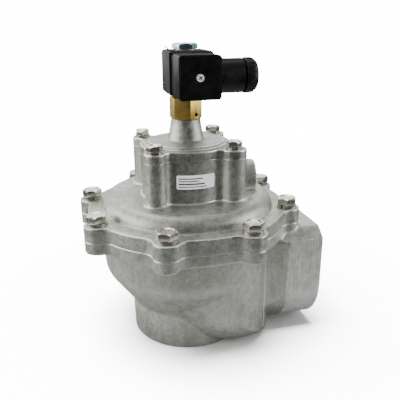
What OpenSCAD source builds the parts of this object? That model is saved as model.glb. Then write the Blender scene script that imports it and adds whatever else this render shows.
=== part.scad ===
/* [Body] */
// Height of the body from the outlet face to the cover joint
body_h = 89.6; // [88.6:0.2:92]
// Outer radius of the bowl
bowl_r = 63.5; // [62.5:0.25:64.5]
// Wall thickness of the cast body
body_wall = 5.5; // [5:0.25:6]
// Height at which the bowl's straight wall ends
bowl_shoulder_h = 60.3; // [59:0.5:62]
// Radius of the bowl's rounded shoulder
bowl_round_r = 40; // [38:0.5:42]
// Slope of the bowl's underside away from the vertical
bowl_slope = 40; // [38:0.5:42]
// Distance from the outlet axis to the centre of the inlet bulge
bulge_x = 30; // [28:0.5:32]
// Outer radius of the inlet bulge
bulge_r = 57; // [56:0.25:58]
// Radius of the bulge's rounded lower edge
bulge_round_r = 30; // [28:0.5:31]
// Height at which the bulge's straight wall ends
bulge_shoulder_h = 28.3; // [27:0.5:30]
// Height of the lowest cast surface above the outlet face
cast_floor_h = 1.8; // [1:0.2:3]

/* [Outlet branch] */
// Outer radius of the outlet branch at its foot
outlet_foot_r = 43; // [42:0.25:44]
// Radius that the outlet branch gains up to the bowl
outlet_draft = 0.7; // [0.2:0.1:1.2]
// Wall radius of the outlet's threaded hole
outlet_bore_r = 36.1; // [35.5:0.1:37]
// Depth of the outlet's threaded hole
outlet_bore_depth = 26; // [22:0.5:27]
// Bore radius of the seat tube
throat_r = 31; // [29:0.25:32]
// Wall thickness of the seat tube
throat_wall = 5.5; // [4.5:0.25:6]
// Depth of the main seat below the cover joint
seat_drop = 4; // [3.5:0.1:4.5]

/* [Inlet branch] */
// Distance from the outlet axis to the inlet's end face
inlet_reach = 93; // [90:0.5:97]
// Height of the inlet axis above the outlet face
inlet_axis_h = 45.3; // [44.8:0.1:46]
// Half of the width over the inlet's flats
inlet_half_w = 44; // [43:0.25:45]
// Half of the branch's width where it leaves the bowl
inlet_neck_half_w = 39.5; // [38:0.25:42]
// Distance from the outlet axis to where the flats begin
inlet_flat_x = 67; // [64:0.5:72]
// Height of the inlet's top flat above its axis
inlet_top_rise = 40.2; // [39.6:0.2:41]
// Radius of the inlet's lower corners
inlet_corner_r = 38; // [36:0.5:40]
// Width of the inlet's upper chamfers
inlet_chamfer_w = 9; // [7:0.5:11]
// Height of the inlet's upper chamfers
inlet_chamfer_h = 7.2; // [6:0.2:9]
// Wall radius of the inlet's threaded hole
inlet_bore_r = 36.1; // [35.5:0.1:37]
// Depth of the inlet's threaded hole
inlet_bore_depth = 26; // [22:0.5:27]
// Radius of the passage behind the inlet's thread
inlet_passage_r = 34; // [32:0.25:35]

/* [Main flange] */
// Pitch circle diameter of the flange bolts
flange_pcd = 149; // [148.5:0.25:150.5]
// Radius of the flange's rim between its ears
flange_rim_r = 73.6; // [73:0.1:74.2]
// Radius of the flange's ears
ear_r = 9.5; // [9:0.1:10.2]
// Radius of the hollows between an ear and the rim
ear_fillet_r = 9; // [7:0.5:11]
// Thickness of the body's flange
body_flange_t = 8.7; // [8:0.1:10]
// Thickness of the main cover's flange
cover_flange_t = 10.7; // [10:0.1:11.5]
// Width over the flats of a flange bolt's head
flange_bolt_af = 13; // [12.6:0.1:13.2]
// Radius of a flange bolt's shank
flange_bolt_r = 4; // [3.8:0.05:4.2]
// Height of a flange bolt's head
flange_head_h = 5.3; // [4.8:0.1:5.8]

/* [Main cover] */
// Radius of the dome at its foot
dome_foot_r = 63.5; // [63:0.25:64.5]
// Height of the dome above the flange
dome_h = 9.8; // [9.4:0.1:10.4]
// Radius of the dome's rounded shoulder
dome_round_r = 10; // [9:0.25:10.5]
// How far the dome's flat ring dips towards the tower
dome_dip = 0.7; // [0.4:0.1:1]
// Wall thickness of the cast covers
cover_wall = 5; // [4.5:0.25:5.5]
// Height of the tower above the flange
tower_h = 40; // [39.5:0.25:42]
// Radius of the tower
tower_r = 33.5; // [33:0.1:34]
// Pitch circle diameter of the top cover's bolts
tower_pcd = 78.6; // [78:0.2:79.6]
// Radius of the tower's lobes on the inlet side
inlet_lobe_r = 9; // [8.6:0.1:9.4]
// Radius of the tower's lobes on the far side
far_lobe_r = 7.5; // [7.2:0.1:8]
// Radius of the hollows between a lobe and the tower
lobe_fillet_r = 6; // [5:0.25:7]
// Distance from the axis to the exhaust boss's end face
exhaust_reach = 52; // [50:0.5:54]
// Radius of the exhaust boss's round top
exhaust_boss_r = 10; // [9.5:0.1:10.5]
// Height of the exhaust hole above the flange
exhaust_h = 20; // [19.5:0.1:21]
// Radius of the exhaust hole
exhaust_bore_r = 5.9; // [5.4:0.1:6.2]
// Outer radius of the pilot seat's tube
pilot_tube_r = 16; // [15.5:0.1:16.5]
// Bore radius of the pilot seat's tube
pilot_throat_r = 11; // [10.5:0.1:11.5]

/* [Top cover] */
// Thickness of the top cover's rim
top_rim_t = 6.2; // [6:0.1:7]
// Radius of the top cover's lower step
step_low_r = 31; // [30.5:0.1:31.5]
// Radius of the top cover's upper step
step_high_r = 27.6; // [27:0.1:28.5]
// Height of each step
step_h = 1.1; // [0.9:0.05:1.3]
// Radius of the centre boss at its foot
boss_foot_r = 12.8; // [12.4:0.1:13.2]
// Radius of the centre boss at its top
boss_top_r = 10.4; // [10.2:0.1:10.8]
// Height of the centre boss above the rim
boss_h = 17.6; // [17:0.2:19]
// Width over the flats of a top cover bolt's head
top_bolt_af = 10; // [9.6:0.1:10.2]
// Radius of a top cover bolt's shank
top_bolt_r = 3; // [2.8:0.05:3.1]
// Height of a top cover bolt's head
top_head_h = 4; // [3.6:0.1:4.4]

/* [Diaphragms] */
// Lift of the main diaphragm
main_lift = 9; // [7:0.5:9.5]
// Radius of the main membrane
main_membrane_r = 66; // [65.5:0.1:66.5]
// Thickness of the main membrane
main_membrane_t = 2; // [1.8:0.1:2.2]
// Radius of the main seat pad
seat_pad_r = 37.5; // [37:0.1:38]
// Radius of the upper clamp plate
upper_plate_r = 34; // [32:0.5:36]
// Thickness of both clamp plates
plate_t = 3; // [2.6:0.1:3.2]
// Radius of the bleed hole in the main membrane
main_bleed_r = 1.2; // [0.6:0.1:1.5]
// Radius of the bleed hole through the pilot rivet
pilot_bleed_r = 0.7; // [0.4:0.1:1]
// Radius of the pilot membrane
pilot_membrane_r = 30.8; // [30.4:0.1:31]
// Thickness of the pilot membrane
pilot_membrane_t = 1.5; // [1.3:0.1:1.6]
// Lift of the pilot diaphragm
pilot_lift = 2.3; // [1.8:0.1:2.4]
// Radius of the pilot clamp plate
pilot_plate_r = 17; // [16:0.5:19]

/* [Pilot] */
// Width over the flats of the brass base
base_af = 20.4; // [20:0.1:21]
// Height of the brass base's hexagon
base_hex_h = 15.7; // [15:0.1:17]
// Turn of the hexagon about the axis
base_turn = 5; // [0:1:30]
// Height of the vent hole above the hexagon's foot
vent_h = 3.3; // [3:0.1:3.8]
// Radius of the vent hole
vent_r = 1; // [0.7:0.05:1.2]
// Bore radius of the armature tube
armature_bore_r = 5.2; // [5:0.05:5.4]
// Travel of the plunger
plunger_travel = 1.5; // [1:0.1:2]
// Height of the coil
coil_h = 28.5; // [27.8:0.1:30]
// Width of the coil
coil_w = 30; // [29:0.25:32]
// Distance from the axis to the coil's back
coil_back = 14.5; // [14:0.25:16]
// Distance from the axis to the coil's front
coil_front = 20; // [19:0.25:21]
// Radius of the coil's rear corners
coil_corner_r = 8; // [6:0.5:9]
// Width over the flats of the coil nut
coil_nut_af = 15; // [14:0.25:16]
// Height of the coil nut
coil_nut_h = 4.1; // [3.8:0.1:5]

/* [Plug] */
// Side of the square plug housing
plug_w = 27.5; // [27:0.1:28]
// Depth of the plug housing
plug_depth = 23; // [22:0.25:25]
// Thickness of the gasket between coil and plug
gasket_t = 2; // [1.6:0.1:2.4]
// Wall thickness of the plug housing
plug_wall = 2; // [1.7:0.1:2.2]
// Radius of the gland barrel
barrel_r = 11; // [10.7:0.1:11.3]
// Distance from the axis to the barrel's end
barrel_reach = 29.5; // [28.5:0.25:31]
// Radius of the gland nut
gland_nut_r = 11.4; // [11.2:0.1:11.8]
// Length of the gland nut
gland_nut_l = 7.7; // [7.2:0.1:8.5]
// Radius of the cable hole in the gland nut
cable_hole_r = 5; // [4:0.1:6]
// Gap between the barrel and the gland nut
gland_gap = 1.5; // [1.2:0.1:2]

/* [Label] */
// Height of the label
label_h = 9.7; // [8:0.1:12]
// Angle that the label spans on the tower
label_span = 47; // [40:0.5:47.5]
// Direction of the label's centre about the axis
label_turn = -91; // [-92:0.5:-90]
// Height of the label's centre above the flange
label_rise = 25.6; // [20:0.2:30]
// Thickness of the label
label_t = 0.2; // [0.1:0.05:0.4]

/* [Hidden] */
$fn = 96;

// Small distances that several pieces share
cut = 1;
bolt_bevel = 1.1;
running_gap = 0.06;
thread_gap = 0.05;
soft_gap = 0.3;
near_tangent = 0.03;

// Levels, from the outlet face up
flange_low_z = body_h - body_flange_t;
seat_z = body_h - seat_drop;
flange_top_z = body_h + cover_flange_t;
ring_z = flange_top_z + dome_h - dome_dip;
tower_top_z = flange_top_z + tower_h;
rim_top_z = tower_top_z + top_rim_t;
disc_z = rim_top_z + 2 * step_h;
boss_top_z = rim_top_z + boss_h;
boss_fillet_r = 2;
hex_top_z = boss_top_z + base_hex_h;
coil_collar_h = 3;
coil_z = hex_top_z + coil_collar_h;
coil_top_z = coil_z + coil_h;
plug_z = coil_z + 13.6;

// Bolts
flange_bolt_count = 8;
flange_bolt_ring_r = flange_pcd / 2;
tower_bolt_ring_r = tower_pcd / 2;
bolt_clearance = 0.5;
spring_washer_share = 0.92;
flange_washer_t = 2;
top_washer_t = 1.6;
top_bolt_grip = 12;
washer_seat_gap = 1;
washer_split = 0.8;

// Main diaphragm
membrane_low_z = body_h - main_membrane_t;
seat_tube_r = throat_r + throat_wall;
pad_bore_r = throat_r - 4;
lower_plate_r = pad_bore_r - soft_gap;
main_plate_top_z = body_h + plate_t;
centre_bolt_r = 4;
centre_af = 13;
centre_nut_h = 4;
bolt_end = 0.8;
convolution_low_r = 44;
convolution_high_r = 52;
convolution_rise = 2;
convolution_run = 3;

// Cavities of the main cover
lift_stop_gap = 1.6;
web_low_z = main_plate_top_z + centre_nut_h + bolt_end + main_lift + lift_stop_gap;
web_t = 5;
roof_z = flange_top_z + dome_h - cover_wall - dome_dip;
cover_land_r = dome_foot_r - body_wall;
cover_taper = 6;
spring_well_r = 28.5;
main_spring_r = 20;
main_spring_wire_r = 1;
pilot_land_r = pilot_membrane_r - 3.5;
pilot_seat_z = tower_top_z - pilot_membrane_t - 2.8;

// Pilot diaphragm
pilot_plate_t = 2;
pilot_disc_r = pilot_tube_r - 0.5;
rivet_r = 2;
rivet_head_t = 1.2;
pilot_roof_z = tower_top_z + pilot_plate_t + pilot_lift + soft_gap;
pilot_spring_r = 5;
pilot_spring_wire_r = 0.45;
pilot_well_r = 6.5;
pilot_well_top_z = boss_top_z - 10;

// Armature
spigot_r = 6;
spigot_h = 5.9;
orifice_r = 1.2;
armature_wall = 1;
armature_r = armature_bore_r + armature_wall;
valve_chamber_z = boss_top_z + 1.6;
nozzle_r = 2.5;
nozzle_h = 3.6;
nozzle_z = valve_chamber_z + nozzle_h;
tube_low_z = boss_top_z + 10;
tube_top_z = coil_top_z - 4;
plunger_seal_t = 1;
plunger_low_z = nozzle_z + plunger_seal_t;
core_low_z = coil_z + 12.2;
plunger_top_z = core_low_z - plunger_travel - 0.1;
stud_r = 4;
core_head_t = 1.5;
spring_pocket_r = 2.4;
spring_pocket_h = 10;
plunger_spring_r = 1.8;
plunger_spring_wire_r = 0.25;
plunger_groove_r = 0.7;
shading_ring_r = 4.2;
shading_ring_w = 1;
shading_ring_t = 0.8;
coil_collar_r = 9;
tab_washer_t = 0.5;
tab_washer_r = 8;
tab_bend_x = 11.4;
coil_edge = 0.8;

// Plug
gasket_y = -coil_front;
plug_back_y = gasket_y - gasket_t;
plug_front_y = plug_back_y - plug_depth;
plug_mid_y = (plug_back_y + plug_front_y) / 2;
cavity_w = plug_w - 2 * plug_wall;
gasket_w = plug_w - 1.5;
gasket_hole_w = cavity_w - 1.5;
cavity_depth = plug_depth - plug_wall - 2.5;
block_w = cavity_w - 2 * soft_gap;
block_depth = cavity_depth - 2.5;
blade_spread = 9;
blade_w = 6.3;
blade_t = 0.8;
blade_l = 10;
slot_w = 2;
slot_l = blade_w + 0.8;
screw_r = 1.5;
screw_head_r = 2.9;
screw_head_t = 2;
screw_sink = 0.4;
screw_bite = 6;
screw_gap = 0.2;
gland_bore_r = 8.2;
gland_neck_r = 9.6;
neck_reach = barrel_reach + gland_gap + 4.9;
gland_seal_l = 8;
gland_seal_r = gland_bore_r - 0.1;
gland_hole_r = 4;
cable_way_r = gland_hole_r + 1;
nut_start_x = barrel_reach + gland_gap;
nut_end_x = nut_start_x + gland_nut_l;
nut_wall = 1.5;
gland_washer_t = nut_end_x - nut_wall - neck_reach - running_gap;
grip_count = 12;
grip_r = 0.9;

function arc_points(cx, cy, r, from_a, to_a, steps) =
    [for (i = [0 : steps]) let (a = from_a + (to_a - from_a) * i / steps) [cx + r * cos(a), cy + r * sin(a)]];

// Half outline of the bowl, moved inwards by inset and cut off at the radius low_r
function bowl_outline(inset, low_r, top_z) =
    let (
        cx = bowl_r - bowl_round_r,
        arc_r = bowl_round_r - inset,
        arc_end_r = cx + arc_r * cos(bowl_slope),
        arc_end_z = bowl_shoulder_h - arc_r * sin(bowl_slope),
        low_z = arc_end_z - (arc_end_r - low_r) / tan(bowl_slope)
    )
    concat(
        [[0, low_z], [low_r, low_z]],
        arc_points(cx, bowl_shoulder_h, arc_r, -bowl_slope, 0, 8),
        [[bowl_r - inset, top_z], [0, top_z]]
    );

// Half outline of the bulge below the inlet, moved inwards by inset
function bulge_outline(inset, top_z) =
    let (
        cx = bulge_r - bulge_round_r,
        arc_r = bulge_round_r - inset,
        low_z = cast_floor_h + inset,
        end_a = asin((bulge_shoulder_h - low_z) / arc_r)
    )
    concat(
        [[0, low_z]],
        arc_points(cx, bulge_shoulder_h, arc_r, -end_a, 0, 8),
        [[bulge_r - inset, top_z], [0, top_z]]
    );

// A ring of round ears on a round rim, with hollows where they meet
module eared_outline(rim_r, ring_r, ear_radii, first_angle, fillet_r) {
    count = len(ear_radii);
    circle(r = rim_r);
    for (i = [0 : count - 1]) {
        ear = ear_radii[i];
        far = rim_r + fillet_r;
        near = ear + fillet_r;
        fx = (far * far - near * near + ring_r * ring_r) / (2 * ring_r);
        fy = sqrt(far * far - fx * fx);
        keep = 0.98;
        rotate(first_angle + i * 360 / count) {
            translate([ring_r, 0]) circle(r = ear, $fn = 48);
            difference() {
                polygon([
                    [ring_r * 0.5, 0],
                    [fx, -fy] * rim_r / far * keep,
                    [fx, -fy],
                    [ring_r + (fx - ring_r) * ear / near * keep, -fy * ear / near * keep],
                    [ring_r, 0],
                    [ring_r + (fx - ring_r) * ear / near * keep, fy * ear / near * keep],
                    [fx, fy],
                    [fx, fy] * rim_r / far * keep,
                ]);
                for (side = [-1, 1])
                    translate([fx, side * fy]) circle(r = fillet_r + near_tangent, $fn = 48);
            }
        }
    }
}

module flange_outline() {
    eared_outline(flange_rim_r, flange_bolt_ring_r, [for (i = [1 : flange_bolt_count]) ear_r],
        180 / flange_bolt_count, ear_fillet_r);
}

module tower_outline() {
    eared_outline(tower_r, tower_bolt_ring_r, [inlet_lobe_r, far_lobe_r, far_lobe_r, inlet_lobe_r],
        45, lobe_fillet_r);
}

module at_flange_bolts() {
    for (i = [0 : flange_bolt_count - 1])
        rotate((i + 0.5) * 360 / flange_bolt_count) translate([flange_bolt_ring_r, 0, 0]) children();
}

module at_tower_bolts() {
    for (i = [0 : 3])
        rotate(45 + 90 * i) translate([tower_bolt_ring_r, 0, 0]) children();
}

// Section of the inlet branch, seen along its axis with height as the second coordinate
module inlet_section() {
    top = inlet_axis_h + inlet_top_rise;
    corner_y = inlet_half_w - inlet_corner_r;
    corner_z = cast_floor_h + inlet_corner_r;
    polygon(concat(
        arc_points(corner_y, corner_z, inlet_corner_r, -90, 0, 10),
        [
            [inlet_half_w, top - inlet_chamfer_h], [inlet_half_w - inlet_chamfer_w, top],
            [inlet_chamfer_w - inlet_half_w, top], [-inlet_half_w, top - inlet_chamfer_h],
        ],
        arc_points(-corner_y, corner_z, inlet_corner_r, 180, 270, 10)
    ));
}

// Turns a section drawn as [y, z] so that it runs along +X
module along_x(from_x, to_x) {
    translate([from_x, 0, 0]) rotate([90, 0, 90]) linear_extrude(to_x - from_x) children();
}

module rod_x(from_x, to_x, r, z) {
    translate([from_x, 0, z]) rotate([0, 90, 0]) cylinder(h = to_x - from_x, r = r);
}

module rod(from_z, to_z, r) {
    translate([0, 0, from_z]) cylinder(h = to_z - from_z, r = r);
}

module ring(from_z, to_z, outer_r, inner_r) {
    difference() {
        rod(from_z, to_z, outer_r);
        rod(from_z - cut, to_z + cut, inner_r);
    }
}

// The branch is narrower where it leaves the bowl and widens towards its flats
module inlet_branch() {
    neck_x = 44;
    intersection() {
        along_x(bulge_x, inlet_reach) inlet_section();
        linear_extrude(body_h) polygon([
            [0, -inlet_neck_half_w], [neck_x, -inlet_neck_half_w], [inlet_flat_x, -inlet_half_w - cut],
            [inlet_reach + cut, -inlet_half_w - cut], [inlet_reach + cut, inlet_half_w + cut],
            [inlet_flat_x, inlet_half_w + cut], [neck_x, inlet_neck_half_w], [0, inlet_neck_half_w],
        ]);
    }
}

module bulge(inset) {
    intersection() {
        translate([bulge_x, 0, 0]) rotate_extrude() polygon(bulge_outline(inset, flange_low_z + cut - inset));
        rod(0, body_h, bowl_r - inset);
    }
}

module seat_tube() {
    rotate_extrude() polygon([
        [0, 0], [outlet_foot_r - 0.5, 0], [outlet_foot_r - 0.5, outlet_bore_depth + 3],
        [seat_tube_r, outlet_bore_depth + 11], [seat_tube_r, seat_z - 2], [seat_tube_r - 1.5, seat_z],
        [throat_r + 1.5, seat_z], [0, seat_z],
    ]);
}

module valve_body() {
    color([0.62, 0.62, 0.6])
    difference() {
        union() {
            translate([0, 0, flange_low_z]) linear_extrude(body_flange_t) flange_outline();
            rotate_extrude() polygon(bowl_outline(0, outlet_foot_r - 3, flange_low_z + cut));
            bulge(0);
            inlet_branch();
            cylinder(h = bulge_shoulder_h, r1 = outlet_foot_r, r2 = outlet_foot_r + outlet_draft);
        }
        difference() {
            union() {
                rotate_extrude() polygon(bowl_outline(body_wall, seat_tube_r, body_h + cut));
                bulge(body_wall);
                rod_x(bulge_x, inlet_reach, inlet_passage_r, inlet_axis_h);
            }
            seat_tube();
        }
        rod(-cut, seat_z + cut, throat_r);
        rod(-cut, outlet_bore_depth, outlet_bore_r);
        rod_x(inlet_reach - inlet_bore_depth, inlet_reach + cut, inlet_bore_r, inlet_axis_h);
        rod(membrane_low_z, body_h + cut, main_membrane_r + soft_gap);
        at_flange_bolts() rod(flange_low_z - cut, body_h + cut, flange_bolt_r + thread_gap);
    }
}

module exhaust_boss() {
    along_x(0, exhaust_reach) union() {
        translate([0, flange_top_z + exhaust_h]) circle(r = exhaust_boss_r);
        translate([-exhaust_boss_r, roof_z + cut])
            square([2 * exhaust_boss_r, exhaust_h + flange_top_z - roof_z - cut]);
    }
}

module main_cover() {
    dome_arc_end = asin(dome_h / dome_round_r);
    color([0.66, 0.66, 0.64])
    difference() {
        union() {
            translate([0, 0, body_h]) linear_extrude(cover_flange_t) flange_outline();
            rotate_extrude() polygon(concat(
                [[0, body_h + cut], [dome_foot_r, body_h + cut]],
                arc_points(dome_foot_r - dome_round_r, flange_top_z, dome_round_r, 0, dome_arc_end, 8),
                [[tower_r, ring_z], [0, ring_z]]
            ));
            translate([0, 0, roof_z + cut]) linear_extrude(tower_top_z - roof_z - cut) tower_outline();
            exhaust_boss();
        }
        rotate_extrude() polygon([
            [0, body_h - cut], [cover_land_r, body_h - cut], [cover_land_r, flange_top_z - 2],
            [cover_land_r - cover_taper, roof_z], [spring_well_r, roof_z], [spring_well_r, web_low_z],
            [0, web_low_z],
        ]);
        difference() {
            rod(web_low_z + web_t, tower_top_z + cut, pilot_land_r);
            rod(web_low_z, pilot_seat_z, pilot_tube_r);
        }
        rod(web_low_z - cut, tower_top_z + cut, pilot_throat_r);
        rod(tower_top_z - pilot_membrane_t, tower_top_z + cut, pilot_membrane_r + soft_gap);
        rod_x(pilot_tube_r + 4, exhaust_reach + cut, exhaust_bore_r, flange_top_z + exhaust_h);
        at_flange_bolts() rod(body_h - cut, flange_top_z + cut, flange_bolt_r + bolt_clearance);
        at_tower_bolts() rod(tower_top_z - top_bolt_grip - 2, tower_top_z + cut, top_bolt_r + thread_gap);
    }
}

module top_cover() {
    color([0.66, 0.66, 0.64])
    difference() {
        union() {
            translate([0, 0, tower_top_z]) linear_extrude(top_rim_t) tower_outline();
            rod(rim_top_z - cut, rim_top_z + step_h, step_low_r);
            rod(rim_top_z, disc_z, step_high_r);
            rotate_extrude() polygon(concat(
                [[0, disc_z - cut], [boss_foot_r + boss_fillet_r, disc_z - cut]],
                arc_points(boss_foot_r + boss_fillet_r, disc_z + boss_fillet_r, boss_fillet_r, -90, -180, 5),
                [[boss_top_r, boss_top_z], [0, boss_top_z]]
            ));
        }
        rod(tower_top_z - cut, pilot_roof_z, pilot_land_r);
        rod(pilot_roof_z - cut, pilot_well_top_z, pilot_well_r);
        rod(pilot_well_top_z - cut, boss_top_z + cut, orifice_r + 0.4);
        rod(boss_top_z - spigot_h - 0.4, boss_top_z + cut, spigot_r + thread_gap);
        at_tower_bolts() rod(tower_top_z - cut, rim_top_z + cut, top_bolt_r + bolt_clearance);
        at_tower_bolts() rod(rim_top_z, boss_top_z, washer_r(top_bolt_af) + washer_seat_gap);
    }
}

module hex_prism(af, from_z, to_z) {
    translate([0, 0, from_z]) cylinder(h = to_z - from_z, d = af / cos(30), $fn = 6);
}

// Hexagon head with its corners turned away at the top, and at the foot if both is true
module turned_hex(af, from_z, to_z, bevel, both) {
    corner_r = af / 2 / cos(30);
    flat_r = af / 2 - 0.3;
    intersection() {
        hex_prism(af, from_z, to_z);
        rotate_extrude() polygon([
            [0, from_z], [both ? flat_r : corner_r + cut, from_z],
            [corner_r + cut, from_z + (both ? bevel : 0)], [corner_r + cut, to_z - bevel], [flat_r, to_z],
            [0, to_z],
        ]);
    }
}

module hex_bolt(af, head_h, shank_r, seat_z_at, end_z) {
    turned_hex(af, seat_z_at, seat_z_at + head_h, bolt_bevel, false);
    rod(end_z, seat_z_at + 0.5, shank_r);
}

// Outer radius of the spring washer under a head of this width
function washer_r(af) = af / 2 / cos(30) * spring_washer_share + 0.3;

// Split ring under a bolt head
module spring_washer(from_z, t, shank_r, af) {
    difference() {
        ring(from_z, from_z + t, washer_r(af), shank_r + 0.2);
        rotate(20) translate([0, -washer_split, from_z - cut]) rotate([25, 0, 0])
            cube([af, washer_split, t + 3 * cut]);
    }
}

module flange_bolts() {
    color([0.78, 0.76, 0.7])
    at_flange_bolts()
        hex_bolt(flange_bolt_af, flange_head_h, flange_bolt_r, flange_top_z + flange_washer_t,
            flange_low_z + 0.6);
}

module flange_spring_washers() {
    color([0.72, 0.7, 0.66])
    at_flange_bolts() spring_washer(flange_top_z, flange_washer_t, flange_bolt_r, flange_bolt_af);
}

module top_cover_bolts() {
    color([0.78, 0.76, 0.7])
    at_tower_bolts()
        hex_bolt(top_bolt_af, top_head_h, top_bolt_r, rim_top_z + top_washer_t, tower_top_z - top_bolt_grip);
}

module top_cover_spring_washers() {
    color([0.72, 0.7, 0.66])
    at_tower_bolts() spring_washer(rim_top_z, top_washer_t, top_bolt_r, top_bolt_af);
}

module tower_label() {
    mid = flange_top_z + label_rise;
    color("whitesmoke")
    rotate(label_turn - label_span / 2) rotate_extrude(angle = label_span)
        translate([tower_r, mid - label_h / 2]) square([label_t, label_h]);
}

// Coil spring with closed ends, swept from a round wire
module coil_spring(mean_r, wire_r, from_z, to_z, turns) {
    sides = 8;
    per_turn = 16;
    steps = turns * per_turn;
    rise = to_z - from_z - 2 * wire_r;
    points = [
        for (i = [0 : steps]) for (k = [0 : sides - 1])
            let (
                a = 360 * i / per_turn,
                z = from_z + wire_r + rise * i / steps,
                b = 360 * k / sides,
                r = mean_r + wire_r * cos(b)
            )
            [r * cos(a), r * sin(a), z + wire_r * sin(b)]
    ];
    walls = [
        for (i = [0 : steps - 1]) for (k = [0 : sides - 1])
            let (a = i * sides + k, b = i * sides + (k + 1) % sides)
            each [[a, a + sides, b], [b, a + sides, b + sides]]
    ];
    start = [for (k = [0 : sides - 1]) k];
    end = [for (k = [sides - 1 : -1 : 0]) steps * sides + k];
    polyhedron(points = points, faces = concat(walls, [start, end]));
}

module main_membrane() {
    low = membrane_low_z;
    top = body_h;
    color([0.14, 0.14, 0.14])
    difference() {
        rotate_extrude() polygon([
            [centre_bolt_r + running_gap, low], [convolution_low_r - 1, low],
            [convolution_low_r - 1 + convolution_run, low + convolution_rise],
            [convolution_high_r - convolution_run, low + convolution_rise], [convolution_high_r, low],
            [main_membrane_r, low], [main_membrane_r, top], [convolution_high_r + 1, top],
            [convolution_high_r + 1 - convolution_run, top + convolution_rise],
            [convolution_low_r - 2 + convolution_run, top + convolution_rise], [convolution_low_r - 2, top],
            [centre_bolt_r + running_gap, top],
        ]);
        translate([seat_pad_r + 2, 0, 0]) rod(low - cut, top + cut, main_bleed_r);
        at_flange_bolts() rod(low - cut, top + cut, flange_bolt_r + soft_gap);
    }
}

module main_seat_pad() {
    color([0.2, 0.2, 0.2]) ring(seat_z, membrane_low_z, seat_pad_r, pad_bore_r);
}

module main_lower_plate() {
    color([0.7, 0.7, 0.7])
    ring(membrane_low_z - plate_t, membrane_low_z, lower_plate_r, centre_bolt_r + running_gap);
}

module main_upper_plate() {
    color([0.7, 0.7, 0.7])
    rotate_extrude() polygon([
        [centre_bolt_r + running_gap, body_h], [upper_plate_r - 1, body_h], [upper_plate_r, body_h + 1],
        [upper_plate_r, main_plate_top_z - 1], [upper_plate_r - 1, main_plate_top_z],
        [centre_bolt_r + running_gap, main_plate_top_z],
    ]);
}

module main_centre_bolt() {
    low = membrane_low_z - plate_t;
    color([0.75, 0.74, 0.7]) {
        rotate([180, 0, 0]) turned_hex(centre_af, -low, -low + 4, 1, false);
        rod(low - 0.5, main_plate_top_z + centre_nut_h + bolt_end, centre_bolt_r);
    }
}

module main_centre_nut() {
    color([0.75, 0.74, 0.7])
    difference() {
        turned_hex(centre_af, main_plate_top_z, main_plate_top_z + centre_nut_h, 1, false);
        rod(body_h, main_plate_top_z + centre_nut_h + cut, centre_bolt_r + thread_gap);
    }
}

module main_spring() {
    color([0.6, 0.6, 0.62]) coil_spring(main_spring_r, main_spring_wire_r, main_plate_top_z, web_low_z, 2.5);
}

module pilot_membrane() {
    low = tower_top_z - pilot_membrane_t;
    color([0.14, 0.14, 0.14]) ring(low, tower_top_z, pilot_membrane_r, rivet_r + running_gap);
}

module pilot_seal_disc() {
    color([0.2, 0.2, 0.2])
    ring(pilot_seat_z, tower_top_z - pilot_membrane_t, pilot_disc_r, rivet_r + running_gap);
}

module pilot_clamp_plate() {
    color([0.7, 0.7, 0.7])
    ring(tower_top_z, tower_top_z + pilot_plate_t, pilot_plate_r, rivet_r + running_gap);
}

module pilot_rivet() {
    low = pilot_seat_z;
    top = tower_top_z + pilot_plate_t;
    color([0.75, 0.74, 0.7])
    difference() {
        union() {
            rod(low - rivet_head_t, low, 2 * rivet_r);
            rod(low - 0.5, top + 0.5, rivet_r);
            rod(top, top + rivet_head_t, 1.7 * rivet_r);
        }
        rod(low - rivet_head_t - cut, top + rivet_head_t + cut, pilot_bleed_r);
    }
}

module pilot_spring() {
    color([0.6, 0.6, 0.62])
    coil_spring(pilot_spring_r, pilot_spring_wire_r, tower_top_z + pilot_plate_t, pilot_well_top_z, 5);
}

module brass_base() {
    vent_angle = base_turn - 60;
    color([0.72, 0.58, 0.28])
    difference() {
        union() {
            rotate(base_turn + 30) turned_hex(base_af, boss_top_z, hex_top_z, 1.3, true);
            rod(boss_top_z - spigot_h, boss_top_z + 0.5, spigot_r);
        }
        rod(boss_top_z - spigot_h - cut, nozzle_z + cut, orifice_r);
        difference() {
            rod(valve_chamber_z, hex_top_z + cut, armature_bore_r + running_gap);
            rod(valve_chamber_z - cut, nozzle_z, nozzle_r);
        }
        rod(tube_low_z, hex_top_z + cut, armature_r + thread_gap);
        rotate(vent_angle) rod_x(nozzle_r + 0.5, base_af, vent_r, boss_top_z + vent_h);
        rotate_extrude() translate([spigot_r + 1.2, boss_top_z]) circle(r = 0.9, $fn = 32);
    }
}

module base_seal_ring() {
    color([0.1, 0.1, 0.1])
    rotate_extrude() intersection() {
        translate([spigot_r + 1.2, boss_top_z]) circle(r = 0.85, $fn = 32);
        translate([spigot_r, boss_top_z]) square([3, 2]);
    }
}

module armature_tube() {
    color([0.75, 0.75, 0.76]) ring(tube_low_z, tube_top_z, armature_r, armature_bore_r);
}

module fixed_core() {
    color([0.7, 0.7, 0.72])
    difference() {
        union() {
            rod(core_low_z, tube_top_z + 0.5, armature_bore_r - thread_gap);
            rod(tube_top_z, tube_top_z + core_head_t, armature_r);
            rod(tube_top_z + cut, coil_top_z + tab_washer_t + coil_nut_h - 0.7, stud_r);
        }
        ring(core_low_z - cut, core_low_z + shading_ring_t, shading_ring_r, shading_ring_r - shading_ring_w);
    }
}

module plunger() {
    color([0.7, 0.7, 0.72])
    difference() {
        rod(plunger_low_z, plunger_top_z, armature_bore_r - running_gap);
        rod(plunger_top_z - spring_pocket_h, plunger_top_z + cut, spring_pocket_r);
        for (side = [-1, 1])
            translate([side * armature_bore_r, 0, 0])
                rod(plunger_low_z - cut, plunger_top_z + cut, plunger_groove_r);
    }
}

module plunger_seal() {
    color([0.5, 0.12, 0.1]) rod(nozzle_z, plunger_low_z, 3.2);
}

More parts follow.
